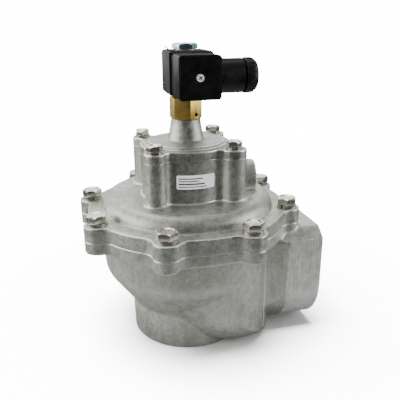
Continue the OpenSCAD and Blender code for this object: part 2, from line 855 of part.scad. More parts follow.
module plunger_spring() {
    color([0.6, 0.6, 0.62])
    coil_spring(plunger_spring_r, plunger_spring_wire_r, plunger_top_z - spring_pocket_h, core_low_z, 8);
}

module coil_outline(inset) {
    half = coil_w / 2 - inset;
    back = coil_back - inset;
    round_r = coil_corner_r - inset;
    polygon(concat(
        [[half, inset - coil_front]],
        arc_points(half - round_r, back - round_r, round_r, 0, 90, 6),
        arc_points(round_r - half, back - round_r, round_r, 90, 180, 6),
        [[-half, inset - coil_front]]
    ));
}

module coil_body() {
    color([0.12, 0.12, 0.13])
    difference() {
        union() {
            translate([0, 0, coil_z]) linear_extrude(coil_h) coil_outline(coil_edge);
            translate([0, 0, coil_z + coil_edge]) linear_extrude(coil_h - 2 * coil_edge) coil_outline(0);
            rod(hex_top_z, coil_z + cut, coil_collar_r);
        }
        rod(hex_top_z - cut, coil_top_z + cut, armature_r + running_gap);
        translate([0, -coil_front, plug_z]) rotate([90, 0, 0])
            rod(-screw_bite - cut, cut, screw_r + thread_gap);
    }
}

// One flat blade that stands out of the coil's front
module blade(at_x, at_z, upright) {
    w = upright ? blade_t : blade_w;
    h = upright ? blade_w : blade_t;
    translate([at_x - w / 2, gasket_y - blade_l, at_z - h / 2]) cube([w, blade_l, h]);
}

module blades() {
    for (side = [-1, 1])
        blade(side * blade_spread, plug_z, true);
    blade(0, plug_z - blade_spread, false);
}

module coil_terminals() {
    color([0.8, 0.78, 0.72]) blades();
}

module coil_nut() {
    low = coil_top_z + tab_washer_t;
    color([0.5, 0.62, 0.7])
    difference() {
        turned_hex(coil_nut_af, low, low + coil_nut_h, 0.8, false);
        rod(low - cut, low + coil_nut_h - 0.6, stud_r + thread_gap);
    }
}

module tab_washer() {
    color([0.15, 0.15, 0.15]) {
        ring(coil_top_z, coil_top_z + tab_washer_t, tab_washer_r, stud_r + 0.3);
        translate([0, 1.5, coil_top_z]) rotate([90, 0, 0]) linear_extrude(3) polygon([
            [1 - tab_washer_r, 0], [-tab_bend_x, 0], [-tab_bend_x - 2.7, 2.4], [-tab_bend_x - 2.3, 2.8],
            [0.2 - tab_bend_x, tab_washer_t], [1 - tab_washer_r, tab_washer_t],
        ]);
    }
}

module square_frame(outer, inner, depth, front_y) {
    translate([-outer / 2, front_y, plug_z - outer / 2])
    difference() {
        cube([outer, depth, outer]);
        translate([(outer - inner) / 2, -cut, (outer - inner) / 2]) cube([inner, depth + 2 * cut, inner]);
    }
}

module plug_gasket() {
    color([0.08, 0.08, 0.08]) square_frame(gasket_w, gasket_hole_w, gasket_t, plug_back_y);
}

module rounded_square(w, r) {
    h = w / 2 - r;
    polygon(concat(
        arc_points(h, h, r, 0, 90, 4), arc_points(-h, h, r, 90, 180, 4),
        arc_points(-h, -h, r, 180, 270, 4), arc_points(h, -h, r, 270, 360, 4)
    ));
}

module plug_block(w, r, from_y, to_y) {
    translate([0, to_y, plug_z]) rotate([90, 0, 0]) linear_extrude(to_y - from_y) rounded_square(w, r);
}

module gland_rod(from_x, to_x, r) {
    translate([0, plug_mid_y, 0]) rod_x(from_x, to_x, r, plug_z);
}

module plug_housing() {
    color([0.07, 0.07, 0.07])
    difference() {
        union() {
            plug_block(plug_w - 1.2, 1.6, plug_front_y, plug_front_y + 0.8);
            plug_block(plug_w, 2, plug_front_y + 0.6, plug_back_y);
            gland_rod(plug_w / 2 - 2, barrel_reach, barrel_r);
            gland_rod(barrel_reach - cut, neck_reach, gland_neck_r);
        }
        plug_block(cavity_w, 1, plug_back_y - cavity_depth, plug_back_y + cut);
        gland_rod(cavity_w / 2 - cut, neck_reach + cut, cable_way_r);
        gland_rod(neck_reach - gland_seal_l, neck_reach + cut, gland_bore_r);
        translate([0, plug_front_y, plug_z]) rotate([90, 0, 0]) {
            rod(-plug_depth, cut, screw_r + screw_gap);
            rod(-screw_head_t - screw_sink, cut, screw_head_r + soft_gap);
        }
    }
}

module terminal_block() {
    color([0.35, 0.35, 0.36])
    difference() {
        plug_block(block_w, 1, plug_back_y - block_depth, plug_back_y - 0.4);
        for (side = [-1, 1])
            translate([side * blade_spread - slot_w / 2, plug_front_y, plug_z - slot_l / 2])
                cube([slot_w, plug_depth, slot_l]);
        translate([-slot_l / 2, plug_front_y, plug_z - blade_spread - slot_w / 2])
            cube([slot_l, plug_depth, slot_w]);
        translate([0, plug_back_y, plug_z]) rotate([90, 0, 0]) rod(-cut, plug_depth, screw_r + screw_gap);
    }
}

module plug_screw() {
    color([0.75, 0.78, 0.8])
    translate([0, plug_front_y, plug_z]) rotate([90, 0, 0])
    difference() {
        union() {
            rod(-screw_head_t - screw_sink, -screw_sink, screw_head_r);
            rod(-plug_depth - gasket_t - screw_bite, -screw_head_t, screw_r);
        }
        for (turn = [0, 90])
            rotate(45 + turn) translate([-2, -0.35, -1.4]) cube([4, 0.7, 3]);
    }
}

module gland_ring(from_x, to_x, outer_r, inner_r) {
    difference() {
        gland_rod(from_x, to_x, outer_r);
        gland_rod(from_x - cut, to_x + cut, inner_r);
    }
}

module gland_seal() {
    color([0.25, 0.25, 0.26]) gland_ring(neck_reach - gland_seal_l, neck_reach, gland_seal_r, gland_hole_r);
}

module gland_washer() {
    color([0.7, 0.7, 0.7])
    gland_ring(neck_reach, neck_reach + gland_washer_t, gland_seal_r, gland_hole_r + 0.5);
}

module gland_nut() {
    bevel = 1.6;
    color([0.07, 0.07, 0.07])
    difference() {
        translate([0, plug_mid_y, plug_z]) rotate([0, 90, 0]) rotate_extrude() polygon([
            [0, nut_start_x], [gland_nut_r - 0.4, nut_start_x], [gland_nut_r, nut_start_x + 0.6],
            [gland_nut_r, nut_end_x - 2 * bevel], [gland_nut_r - 0.5, nut_end_x - 1.1 * bevel],
            [gland_nut_r - bevel - 0.2, nut_end_x], [0, nut_end_x],
        ]);
        gland_rod(nut_start_x - cut, nut_end_x - nut_wall, gland_neck_r + running_gap);
        gland_rod(nut_start_x - cut, nut_end_x + cut, cable_hole_r);
        for (i = [0 : grip_count - 1])
            translate([0, plug_mid_y, plug_z]) rotate([360 * (i + 0.5) / grip_count, 0, 0])
                rod_x(nut_start_x + 1.8, nut_end_x + cut, grip_r, gland_nut_r + 0.3);
    }
}

valve_body();
main_cover();
top_cover();
flange_bolts();
flange_spring_washers();
top_cover_bolts();
top_cover_spring_washers();
tower_label();
main_membrane();
main_seat_pad();
main_lower_plate();
main_upper_plate();
main_centre_bolt();
main_centre_nut();
main_spring();
pilot_membrane();
pilot_seal_disc();
pilot_clamp_plate();
pilot_rivet();
pilot_spring();
brass_base();
base_seal_ring();
armature_tube();
fixed_core();
plunger();
plunger_seal();
plunger_spring();
coil_body();
coil_terminals();
coil_nut();
tab_washer();
plug_gasket();
plug_housing();
terminal_block();
plug_screw();
gland_seal();
gland_washer();
gland_nut();
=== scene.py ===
import math

import bmesh
import bpy
from mathutils import Matrix, Vector


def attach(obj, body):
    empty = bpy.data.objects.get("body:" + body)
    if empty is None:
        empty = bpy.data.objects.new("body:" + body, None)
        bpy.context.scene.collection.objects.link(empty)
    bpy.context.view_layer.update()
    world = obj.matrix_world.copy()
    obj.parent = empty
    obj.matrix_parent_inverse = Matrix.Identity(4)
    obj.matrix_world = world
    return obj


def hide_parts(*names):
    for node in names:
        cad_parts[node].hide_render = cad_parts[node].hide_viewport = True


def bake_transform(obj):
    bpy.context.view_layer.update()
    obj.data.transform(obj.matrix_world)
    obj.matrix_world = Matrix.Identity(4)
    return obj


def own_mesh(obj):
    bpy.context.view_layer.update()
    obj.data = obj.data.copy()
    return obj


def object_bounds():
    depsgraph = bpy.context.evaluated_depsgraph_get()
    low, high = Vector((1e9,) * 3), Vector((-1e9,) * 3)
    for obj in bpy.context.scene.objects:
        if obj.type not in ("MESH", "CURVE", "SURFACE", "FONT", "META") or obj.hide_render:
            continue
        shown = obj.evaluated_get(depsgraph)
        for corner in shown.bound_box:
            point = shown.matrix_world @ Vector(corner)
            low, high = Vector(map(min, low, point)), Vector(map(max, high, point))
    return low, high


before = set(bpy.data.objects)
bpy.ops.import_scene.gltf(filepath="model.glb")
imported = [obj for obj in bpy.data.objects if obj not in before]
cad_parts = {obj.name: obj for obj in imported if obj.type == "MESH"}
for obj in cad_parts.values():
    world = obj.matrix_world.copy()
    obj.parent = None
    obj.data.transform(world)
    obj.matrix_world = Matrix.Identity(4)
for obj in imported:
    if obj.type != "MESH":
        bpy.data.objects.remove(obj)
cadLow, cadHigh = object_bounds()
mm = 0.001


# A socket that can stand in a plain Python expression; each operator adds the Math node for it
class Value:
    def __init__(self, sheet, socket):
        self.sheet = sheet
        self.socket = socket

    def maths(self, operation, first, second=None):
        inputs = {0: first} if second is None else {0: first, 1: second}
        return self.sheet.add("ShaderNodeMath", {"operation": operation}, inputs)

    def __add__(self, other):
        return self.maths("ADD", self, other)

    def __radd__(self, other):
        return self.maths("ADD", other, self)

    def __sub__(self, other):
        return self.maths("SUBTRACT", self, other)

    def __rsub__(self, other):
        return self.maths("SUBTRACT", other, self)

    def __mul__(self, other):
        return self.maths("MULTIPLY", self, other)

    def __rmul__(self, other):
        return self.maths("MULTIPLY", other, self)

    def __truediv__(self, other):
        return self.maths("DIVIDE", self, other)

    def __pow__(self, other):
        return self.maths("POWER", self, other)

    def __gt__(self, other):
        return self.maths("GREATER_THAN", self, other)

    def size(self):
        return self.maths("ABSOLUTE", self)


# A node tree; add makes any node by its type, its settings first and then values or links for its sockets,
# and returns the output asked for
class Sheet:
    def __init__(self, tree):
        self.tree = tree
        self.tree.nodes.clear()
        self.place = None

    def add(self, kind, settings=None, inputs=None, output=0):
        node = self.tree.nodes.new(kind)
        for key, value in (settings or {}).items():
            setattr(node, key, value)
        for key, value in (inputs or {}).items():
            if isinstance(value, Value):
                self.tree.links.new(value.socket, node.inputs[key])
            else:
                node.inputs[key].default_value = value
        return Value(self, node.outputs[output]) if len(node.outputs) else None

    def where(self):
        if self.place is None:
            self.place = self.add("ShaderNodeTexCoord", output=3)
        return self.place

    def axis(self, index):
        return self.add("ShaderNodeSeparateXYZ", inputs={0: self.where()}, output=index)

    # Distance from a point; an axis whose factor in flatten is 0 is left out
    def away(self, point, flatten=(1, 1, 1)):
        off = self.add("ShaderNodeVectorMath", {"operation": "SUBTRACT"}, {0: self.where(), 1: point})
        flat = self.add("ShaderNodeVectorMath", {"operation": "MULTIPLY"}, {0: off, 1: flatten})
        return self.add("ShaderNodeVectorMath", {"operation": "LENGTH"}, {0: flat}, output=1)

    def span(self, value, low, high, newLow=0.0, newHigh=1.0):
        return self.add("ShaderNodeMapRange", {"clamp": True, "interpolation_type": "SMOOTHSTEP"},
                        {0: value, 1: low, 2: high, 3: newLow, 4: newHigh})

    def mix(self, share, first, second, blend="MIX"):
        def colour(c):
            return c if isinstance(c, Value) else (*c, 1.0)
        return self.add("ShaderNodeMix", {"data_type": "RGBA", "blend_type": blend, "clamp_factor": True},
                        {0: share, 6: colour(first), 7: colour(second)}, output=2)


class Finish(Sheet):
    def __init__(self, name, metallic=0.0, roughness=0.5, colour=(0.5, 0.5, 0.5)):
        self.material = bpy.data.materials.new(name)
        self.material.use_nodes = True
        super().__init__(self.material.node_tree)
        self.shader = self.tree.nodes.new("ShaderNodeBsdfPrincipled")
        self.add("ShaderNodeOutputMaterial", inputs={0: Value(self, self.shader.outputs[0])})
        self.constant("Metallic", metallic)
        self.constant("Roughness", roughness)
        self.constant("Base Color", (*colour, 1.0))

    def constant(self, name, value):
        self.shader.inputs[name].default_value = value

    def feed(self, name, value):
        self.tree.links.new(value.socket, self.shader.inputs[name])

    # Noise by the size of its spots in millimetres
    def spots(self, spotSize, detail=3.0, rough=0.5, stretch=(1, 1, 1), shift=(0, 0, 0)):
        mapped = self.add("ShaderNodeMapping", {"vector_type": "POINT"},
                          {"Vector": self.where(), "Location": shift, "Scale": stretch})
        return self.add("ShaderNodeTexNoise", {"noise_dimensions": "3D"},
                        {"Vector": mapped, "Scale": 1.0 / (spotSize * mm), "Detail": detail,
                         "Roughness": rough})

    def edges(self):
        return self.add("ShaderNodeNewGeometry", output=7)

    def bump(self, height, distance, strength=1.0, under=None):
        inputs = {"Height": height, "Distance": distance * mm, "Strength": strength}
        if under is not None:
            inputs["Normal"] = under
        return self.add("ShaderNodeBump", inputs=inputs)


inletPort = {"reach": 93.0, "height": 45.3, "radius": 36.1, "depth": 26.0, "flatStart": 67.0}
outletPort = {"radius": 36.1, "depth": 26.0}
# Colours, sizes of spots in millimetres, shares of what is mixed, and levels between which a mask rises.
# The edge colour serves the nicks and the painted highlight on convex edges; the stain colour serves the
# pits and the painted shade in creases
castLook = {
    "light": (0.58, 0.60, 0.545), "dark": (0.40, 0.418, 0.372), "edge": (0.95, 0.945, 0.92),
    "stain": (0.30, 0.305, 0.28), "metallic": 0.9, "roughLow": 0.40, "roughHigh": 0.56, "polish": 0.12,
    "broadSize": 26, "broadShare": 0.26, "patchSize": 3.6, "patchShare": 0.30,
    "flowSize": 5.5, "flowShare": 0.18, "flowStretch": (1, 1, 0.22), "grainSize": 0.75, "grainShare": 0.26,
    "mottle": (0.41, 0.59), "pitSize": 1.7, "pits": (0.30, 0.24), "pitShare": 0.35,
    "nickSize": 1.3, "nicks": (0.655, 0.70), "nickShare": 0.6, "nickStretch": (1, 0.6, 1.5),
    "highlightShare": 0.9, "creaseShade": (0.490, 0.455), "creaseShadeShare": 0.2, "hollow": (0.494, 0.470),
    "dullShare": 0.22, "dullFade": 0.8, "footBand": (2.0, 1.2),
    "grainDepth": 0.14, "grainStrength": 0.7, "patchDepth": 0.22, "patchStrength": 0.45,
}
# Round mark of a mould's pin, and the milled collar of the inlet
pinMark = {"rim": (0.55, 0.2), "rimShare": 0.55, "step": 0.5, "depth": 0.5, "strength": 0.7}
milledCollar = {
    "bowReach": 38, "bow": 1.8, "ragged": 2.4, "raggedSize": 7, "start": (1.7, 1.3), "round": (38, 38.4),
    "ceiling": (33.2, 32.7), "lineSize": 1.15, "lineStretch": (1, 1, 0.05), "cloudSize": 6.5,
    "tone": (0.36, 0.62),
    "dark": (0.60, 0.605, 0.58), "light": (0.90, 0.90, 0.88), "share": 0.92, "rougher": 0.07,
    "lessMetal": 0.45, "lineDepth": 0.05, "lineStrength": 0.5,
}


def castAluminium(name, tone=1.0, shift=0.0, milledFlats=False, pinMarks=(), dull=None, filletAt=None,
                  contrast=1.0, crisp=(0.52, 0.56)):
    look = castLook
    f = Finish(name, metallic=look["metallic"])
    broad = f.spots(look["broadSize"], 3.0, 0.6, shift=(shift, 0, 0))
    patches = f.spots(look["patchSize"], 4.0, 0.62, shift=(0, shift, 0))
    flow = f.spots(look["flowSize"], 3.0, 0.6, look["flowStretch"], (0, 0, shift))
    grain = f.spots(look["grainSize"], 2.0, 0.6)
    mixed = broad * look["broadShare"] + patches * look["patchShare"]
    mottle = f.span(mixed + flow * look["flowShare"] + grain * look["grainShare"], *look["mottle"])
    middle = [(a + b) / 2 for a, b in zip(look["light"], look["dark"])]
    light = tuple((m + (c - m) * contrast) * tone for c, m in zip(look["light"], middle))
    dark = tuple((m + (c - m) * contrast) * tone for c, m in zip(look["dark"], middle))
    colour = f.mix(mottle, dark, light)
    pits = f.span(f.spots(look["pitSize"], 2.0, 0.5, shift=(shift, 0, 0.3)), *look["pits"])
    colour = f.mix(pits * look["pitShare"], colour, look["stain"])
    nicks = f.spots(look["nickSize"], 3.0, 0.7, look["nickStretch"], (0.4, shift, 0))
    nicks = f.span(nicks, *look["nicks"])
    colour = f.mix(nicks * look["nickShare"], colour, look["edge"])
    # Painted highlight: convex edges, found by pointiness, are lightened towards the edge colour and made a
    # little glossier
    edge = f.edges()
    paintedHighlight = f.span(edge, *crisp)
    if dull:  # between these heights the edges are rounder, so their painted highlight is weaker
        half = (dull[1] - dull[0]) / 2 * mm
        off = (f.axis(2) - (dull[0] * mm + half)).size()
        paintedHighlight = paintedHighlight * f.span(off, half, half + look["dullFade"] * mm, look["dullShare"], 1.0)
    # Painted shade: concave creases, found by pointiness, are darkened towards the stain colour
    creaseShade = f.span(edge, *look["creaseShade"])
    if filletAt:  # painted highlight in the hollow at the tower's foot, where the fillet catches light; the painted crease shade is taken out there
        band = f.span((f.axis(2) - filletAt * mm).size(), *(v * mm for v in look["footBand"]))
        foot = band * f.span(edge, *look["hollow"])
        paintedHighlight = paintedHighlight + foot
        creaseShade = creaseShade * (1.0 - foot)
    colour = f.mix(paintedHighlight * look["highlightShare"], colour, look["edge"])
    colour = f.mix(creaseShade * look["creaseShadeShare"], colour, look["stain"])
    rough = f.span(patches * 0.6 + grain * 0.4, 0.38, 0.62, look["roughLow"], look["roughHigh"])
    skin = f.bump(grain, look["grainDepth"], look["grainStrength"])
    skin = f.bump(patches, look["patchDepth"], look["patchStrength"], under=skin)
    for x, y, low, radius in pinMarks:
        reach = f.away((x * mm, y * mm, 0), (1, 1, 0))
        rim = f.span((reach - radius * mm).size(), *(v * mm for v in pinMark["rim"]))
        rim = rim * (f.axis(2) > low * mm)
        inside = f.span(reach, radius * mm, (radius - pinMark["step"]) * mm)
        colour = f.mix(rim * pinMark["rimShare"], colour, look["stain"])
        skin = f.bump(1.0 - inside, pinMark["depth"], pinMark["strength"], under=skin)
    if milledFlats:  # the collar of the inlet is milled all round below its sloped corners
        cut = milledCollar
        side = f.axis(1)
        level = f.axis(2) - inletPort["height"] * mm
        bowed = (level / (cut["bowReach"] * mm)) ** 2
        ragged = (f.spots(cut["raggedSize"], 2.0, 0.5) - 0.5) * (cut["ragged"] * mm)
        start = f.axis(0) - bowed * (cut["bow"] * mm) - ragged
        milled = f.span((side ** 2 + level ** 2) ** 0.5, *(v * mm for v in cut["round"]))
        milled = milled * f.span(start, *((inletPort["flatStart"] - v) * mm for v in cut["start"]))
        milled = milled * f.span(level, *(v * mm for v in cut["ceiling"]))
        lines = f.spots(cut["lineSize"], 2.0, 0.6, cut["lineStretch"])
        cloud = f.spots(cut["cloudSize"], 4.0, 0.65, shift=(0.1, 0, 0))
        bare = f.mix(f.span(lines * 0.5 + cloud * 0.5, *cut["tone"]), cut["dark"], cut["light"])
        colour = f.mix(milled * cut["share"], colour, bare)
        rough = rough + milled * cut["rougher"]
        f.feed("Metallic", look["metallic"] - milled * cut["lessMetal"])
        skin = f.bump(lines * milled, cut["lineDepth"], cut["lineStrength"], under=skin)
    f.feed("Base Color", colour)
    f.feed("Roughness", rough - paintedHighlight * look["polish"])
    f.feed("Normal", skin)
    return f.material


# Tool marks run round the centre, as on a turned face
def turnedFace(name, flatten, centre):
    f = Finish(name, metallic=1.0)
    marks = f.add("ShaderNodeTexNoise", {"noise_dimensions": "1D"},
                  {"W": f.away(centre, flatten), "Scale": 1.0 / (1.1 * mm), "Detail": 3.0,
                   "Roughness": 0.7})
    cloud = f.spots(9, 3.0, 0.6)
    tone = f.span(marks * 0.6 + cloud * 0.4, 0.36, 0.64)
    f.feed("Base Color", f.mix(tone, (0.62, 0.62, 0.605), (0.86, 0.86, 0.845)))
    f.feed("Roughness", f.span(marks, 0.3, 0.7, 0.24, 0.40))
    f.feed("Normal", f.bump(marks, 0.03, 0.5))
    return f.material


def platedSteel(name, warm, cool, rough, metallic=1.0, glow=0.0):
    f = Finish(name, metallic=metallic)
    broad = f.spots(5, 3.0, 0.6)
    fine = f.spots(0.5, 3.0, 0.6)
    colour = f.mix(f.span(broad, 0.35, 0.65), cool, warm)
    worn = f.span(f.edges(), 0.52, 0.6)
    colour = f.mix(worn * 0.6, colour, (0.88, 0.87, 0.84))
    f.feed("Base Color", colour)
    # Painted light: the surface glows in its own colour, except in hollows, where the missing glow is
    # painted shade
    if glow:
        f.feed("Emission Color", f.mix(f.span(f.edges(), 0.47, 0.41), colour, (0.0, 0.0, 0.0)))
        f.constant("Emission Strength", glow)
    f.feed("Roughness", f.span(broad * 0.6 + fine * 0.4, 0.35, 0.65, rough, rough + 0.1))
    f.feed("Normal", f.bump(fine, 0.012, 0.25))
    return f.material


brassLook = {"light": (0.72, 0.52, 0.135), "dark": (0.60, 0.42, 0.10), "worn": (0.95, 0.82, 0.48)}
# Vent hole in the brass, with a near-black disc round it that is painted shade in the bore
ventHole = {"at": (10.2 * math.cos(math.radians(-55)), 10.2 * math.sin(math.radians(-55)), 167.4),
            "rim": (1.75, 1.35), "dark": (0.012, 0.010, 0.008)}


def milledBrass():
    f = Finish("milled_brass", metallic=1.0)
    lines = f.spots(3, 4.0, 0.65, stretch=(0.3, 0.3, 5))
    stain = f.spots(7, 2.0, 0.5)
    tone = f.span(stain * 0.75 + lines * 0.25, 0.3, 0.7)
    worn = f.span(f.edges(), 0.53, 0.6)
    colour = f.mix(worn * 0.7, f.mix(tone, brassLook["dark"], brassLook["light"]), brassLook["worn"])
    # Painted shade: the brass turns near-black round the vent hole
    away = f.away(tuple(v * mm for v in ventHole["at"]))
    hole = f.span(away, *(v * mm for v in ventHole["rim"]))
    f.feed("Base Color", f.mix(hole, colour, ventHole["dark"]))
    f.feed("Roughness", f.span(lines, 0.3, 0.7, 0.38, 0.44))
    f.feed("Normal", f.bump(lines, 0.006, 0.2))
    return f.material


def mouldedBlack(name, colour, low, high, grainSize=0.35, depth=0.02, gloss=0.2):
    f = Finish(name)
    cloud = f.spots(11, 3.0, 0.6)
    grain = f.spots(grainSize, 2.0, 0.6)
    lifted = tuple(c * 1.7 + 0.004 for c in colour)
    tone = f.mix(f.span(cloud, 0.35, 0.7), colour, lifted)
    worn = f.span(f.edges(), 0.53, 0.62)
    f.feed("Base Color", f.mix(worn * 0.35, tone, (0.12, 0.12, 0.125)))
    faces = f.add("ShaderNodeNewGeometry", output=1)
    upward = f.span(f.add("ShaderNodeSeparateXYZ", inputs={0: faces}, output=2), 0.75, 0.95)
    f.feed("Roughness", f.span(cloud * 0.5 + grain * 0.5, 0.35, 0.65, low, high) + upward * (0.98 - high))
    f.feed("Normal", f.bump(grain, depth, 0.5))
    f.constant("Specular IOR Level", gloss)
    return f.material


def rubber(name, colour):
    f = Finish(name)
    cloud = f.spots(7, 3.0, 0.6)
    f.feed("Base Color", f.mix(f.span(cloud, 0.3, 0.7), colour, tuple(c * 1.5 + 0.01 for c in colour)))
    f.feed("Roughness", f.span(cloud, 0.3, 0.7, 0.55, 0.8))
    f.feed("Normal", f.bump(f.spots(0.6), 0.04, 0.5))
    return f.material


def turnedSteel():
    f = Finish("turned_steel", metallic=1.0)
    rings = f.spots(6, 3.0, 0.6, stretch=(1, 1, 10))
    f.feed("Base Color", f.mix(f.span(rings, 0.35, 0.65), (0.5, 0.5, 0.49), (0.68, 0.68, 0.66)))
    f.feed("Roughness", f.span(rings, 0.3, 0.7, 0.28, 0.45))
    f.feed("Normal", f.bump(rings, 0.02, 0.3))
    return f.material


# Plain ruled lines on the label: distance above the middle, thickness, and both ends along the label
labelPlan = {
    "radius": 33.5, "span": 47.0, "turn": -91.0, "middle": 125.9, "height": 9.7, "thick": 0.2,
    "corner": 0.8, "inset": 0.15, "lift": 0.02, "columns": 40, "soft": 0.12, "ink": (0.05, 0.05, 0.052),
    "sharp": 40,
    "lines": [(2.5, 0.95, -12.2, 4.9), (0.7, 0.8, -12.2, 2.0), (-1.3, 1.2, -12.2, 6.0),
              (-3.3, 0.8, -12.2, 7.6)],
}


def labelFilm(plan):
    f = Finish("label_film", roughness=0.3)
    f.constant("Coat Weight", 0.2)
    # The film glows a little in its own printed colour: painted light
    f.constant("Emission Strength", 0.85)
    cloud = f.spots(6, 3.0, 0.6)
    colour = f.mix(f.span(cloud, 0.3, 0.7), (0.80, 0.81, 0.80), (0.88, 0.88, 0.87))
    middle = math.radians(plan["turn"])
    along = f.axis(0) * -math.sin(middle) + f.axis(1) * math.cos(middle)
    up = f.axis(2) - plan["middle"] * mm
    soft = plan["soft"]
    ink = None
    for level, thick, start, end in plan["lines"]:
        tall = thick / 2
        wide = (end - start) / 2
        band = f.span((up - level * mm).size(), (tall + soft) * mm, (tall - soft) * mm)
        stretch = f.span((along - (start + end) / 2 * mm).size(), (wide + soft) * mm, (wide - soft) * mm)
        line = band * stretch
        ink = line if ink is None else ink + line
    worn = f.span(f.spots(0.7, 2.0, 0.6), 0.3, 0.44, 0.55, 1.0)
    printed = f.mix(ink * worn, colour, plan["ink"])
    f.feed("Base Color", printed)
    f.feed("Emission Color", printed)
    f.feed("Normal", f.bump(cloud, 0.02, 0.3))
    return f.material


print("materials")
castBody = castAluminium("cast_body", 1.0, 0.0, True, dull=(-2.0, 87.0), contrast=1.2)
castCover = castAluminium("cast_cover", 0.97, 0.21, pinMarks=[(-47.6, -3.0, 100.0, 4.2)], filletAt=109.2,
                          dull=(134.0, 141.0), contrast=1.35)
castTop = castAluminium("cast_top", 0.86, 0.43, pinMarks=[(15.6, -4.6, 146.0, 5.0)], contrast=1.9,
                        dull=(139.0, 143.5), crisp=(0.506, 0.53))
# The flash's finish is the casting made 1.45 times lighter: a real ridge with a painted highlight
flashAndHighlight = castAluminium("cast_flash_and_highlight", 1.45, 0.6)
turnedSeat = turnedFace("turned_face", (1, 1, 0), (0, 0, 0))
turnedInlet = turnedFace("turned_inlet_face", (0, 1, 1), (0, 0, inletPort["height"] * mm))
boltPlate = platedSteel("bolt_plate", (0.88, 0.85, 0.75), (0.76, 0.73, 0.63), 0.17, 0.96)
washerPlate = platedSteel("washer_plate", (0.66, 0.60, 0.49), (0.42, 0.38, 0.32), 0.20)
blueZinc = platedSteel("blue_zinc", (0.36, 0.66, 0.82), (0.20, 0.44, 0.60), 0.16)
# The screw's zinc glows faintly: painted light
screwZinc = platedSteel("screw_zinc", (0.90, 0.95, 0.97), (0.70, 0.80, 0.84), 0.30, 0.25, glow=0.5)
blackSteelAndShade = platedSteel("black_steel", (0.06, 0.06, 0.06), (0.03, 0.03, 0.03), 0.32)
brass = milledBrass()
coilResin = mouldedBlack("coil_resin", (0.012, 0.012, 0.013), 0.38, 0.55, 0.5, 0.03)
plugPlastic = mouldedBlack("plug_plastic", (0.007, 0.007, 0.008), 0.30, 0.46)
greyPlastic = mouldedBlack("grey_plastic", (0.16, 0.16, 0.165), 0.4, 0.55, gloss=0.45)
blackRubber = rubber("black_rubber", (0.012, 0.012, 0.012))
redRubber = rubber("red_rubber", (0.3, 0.04, 0.03))
steel = turnedSteel()


def shown(name, mesh, finishes, body, replaced=(), smooth=False):
    piece = bpy.data.objects.new(name, mesh)
    bpy.context.scene.collection.objects.link(piece)
    for finish in finishes if isinstance(finishes, (list, tuple)) else [finishes]:
        mesh.materials.append(finish)
    if smooth:
        for face in mesh.polygons:
            face.use_smooth = True
    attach(piece, body)
    if replaced:
        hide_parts(*replaced)
    return piece


# Puts the result of a piece's modifiers into its mesh
def baked(piece):
    depsgraph = bpy.context.evaluated_depsgraph_get()
    made = bpy.data.meshes.new_from_object(piece.evaluated_get(depsgraph))
    piece.modifiers.clear()
    old = piece.data
    piece.data = made
    bpy.data.meshes.remove(old)
    return piece


def loose(name, mesh):
    piece = bpy.data.objects.new(name, mesh)
    bpy.context.scene.collection.objects.link(piece)
    return piece


def meshOf(name, bm):
    mesh = bpy.data.meshes.new(name)
    bm.normal_update()
    bm.to_mesh(mesh)
    bm.free()
    return mesh


# A CAD node's mesh as a new bmesh, with the points joined that lie closer than weld
def weldedCopy(nodeName, weld):
    bm = bmesh.new()
    bm.from_mesh(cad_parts[nodeName].data)
    bmesh.ops.remove_doubles(bm, verts=bm.verts, dist=weld * mm)
    return bm


def everything(bm):
    return bm.verts[:] + bm.edges[:] + bm.faces[:]


# Smooth shading with sharp edges where faces meet at more than this angle
def sharpen(mesh, degrees):
    bm = bmesh.new()
    bm.from_mesh(mesh)
    for edge in bm.edges:
        edge.smooth = len(edge.link_faces) == 2 and edge.calc_face_angle(0) < math.radians(degrees)
    for face in bm.faces:
        face.smooth = True
    bm.to_mesh(mesh)
    bm.free()


# Rings of points round the Z axis; a ring is a radius and a height in millimetres, as numbers or as
# functions of the angle
def polar(bm, rings, steps, place, looped=False, turn=0.0):
    rows = []
    for radius, height in rings:
        row = []
        for i in range(steps):
            a = 2 * math.pi * i / steps
            r = radius(a) if callable(radius) else radius
            z = height(a) if callable(height) else height
            spot = Vector((r * math.cos(a + turn), r * math.sin(a + turn), z)) * mm
            row.append(bm.verts.new(place @ spot))
        rows.append(row)
    pairs = list(zip(rows, rows[1:])) + ([(rows[-1], rows[0])] if looped else [])
    for low, high in pairs:
        for i in range(steps):
            j = (i + 1) % steps
            bm.faces.new((low[i], low[j], high[j], high[i]))
    if not looped:
        bm.faces.new(list(reversed(rows[0])))
        bm.faces.new(rows[-1])


hexSteps = 72


def hexRadius(acrossFlats):
    def radius(a):
        off = (a + math.pi / 6) % (math.pi / 3) - math.pi / 6
        return acrossFlats / 2 / math.cos(off)
    return radius


def chamferHeight(acrossFlats, top, start, slope=0.5):
    radius = hexRadius(acrossFlats)
    return lambda a: top - max(0.0, radius(a) - start) * slope


# The body's lower skin as circles round points on the X axis that change with height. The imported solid
# has a rounder bowl; the real one has a tighter shoulder, a steeper side and a flank over to the bulge
lowerSkin = {"bowl": 63.5, "shoulder": 60.3, "packed": (40.0, 40.0), "real": (18.0, 36.0),
             "bulge": 57.0, "bulgeAt": 30.0, "bulgeRound": 30.0, "bulgeShoulder": 28.3, "floor": 1.8,
             "flank": 38.0, "flankAt": 10.7, "flankSlope": 22.5, "outlet": 43.0, "outletDraft": 0.025,
             "near": 1.7, "top": 60.3}


def bowlRadius(height, rounding, slope):
    turn = math.radians(slope)
    drop = lowerSkin["shoulder"] - height
    roundDrop = rounding * math.sin(turn)
    if drop < roundDrop:
        return lowerSkin["bowl"] - rounding + math.sqrt(rounding ** 2 - max(drop, 0.0) ** 2)
    return lowerSkin["bowl"] - rounding * (1 - math.cos(turn)) - (drop - roundDrop) * math.tan(turn)


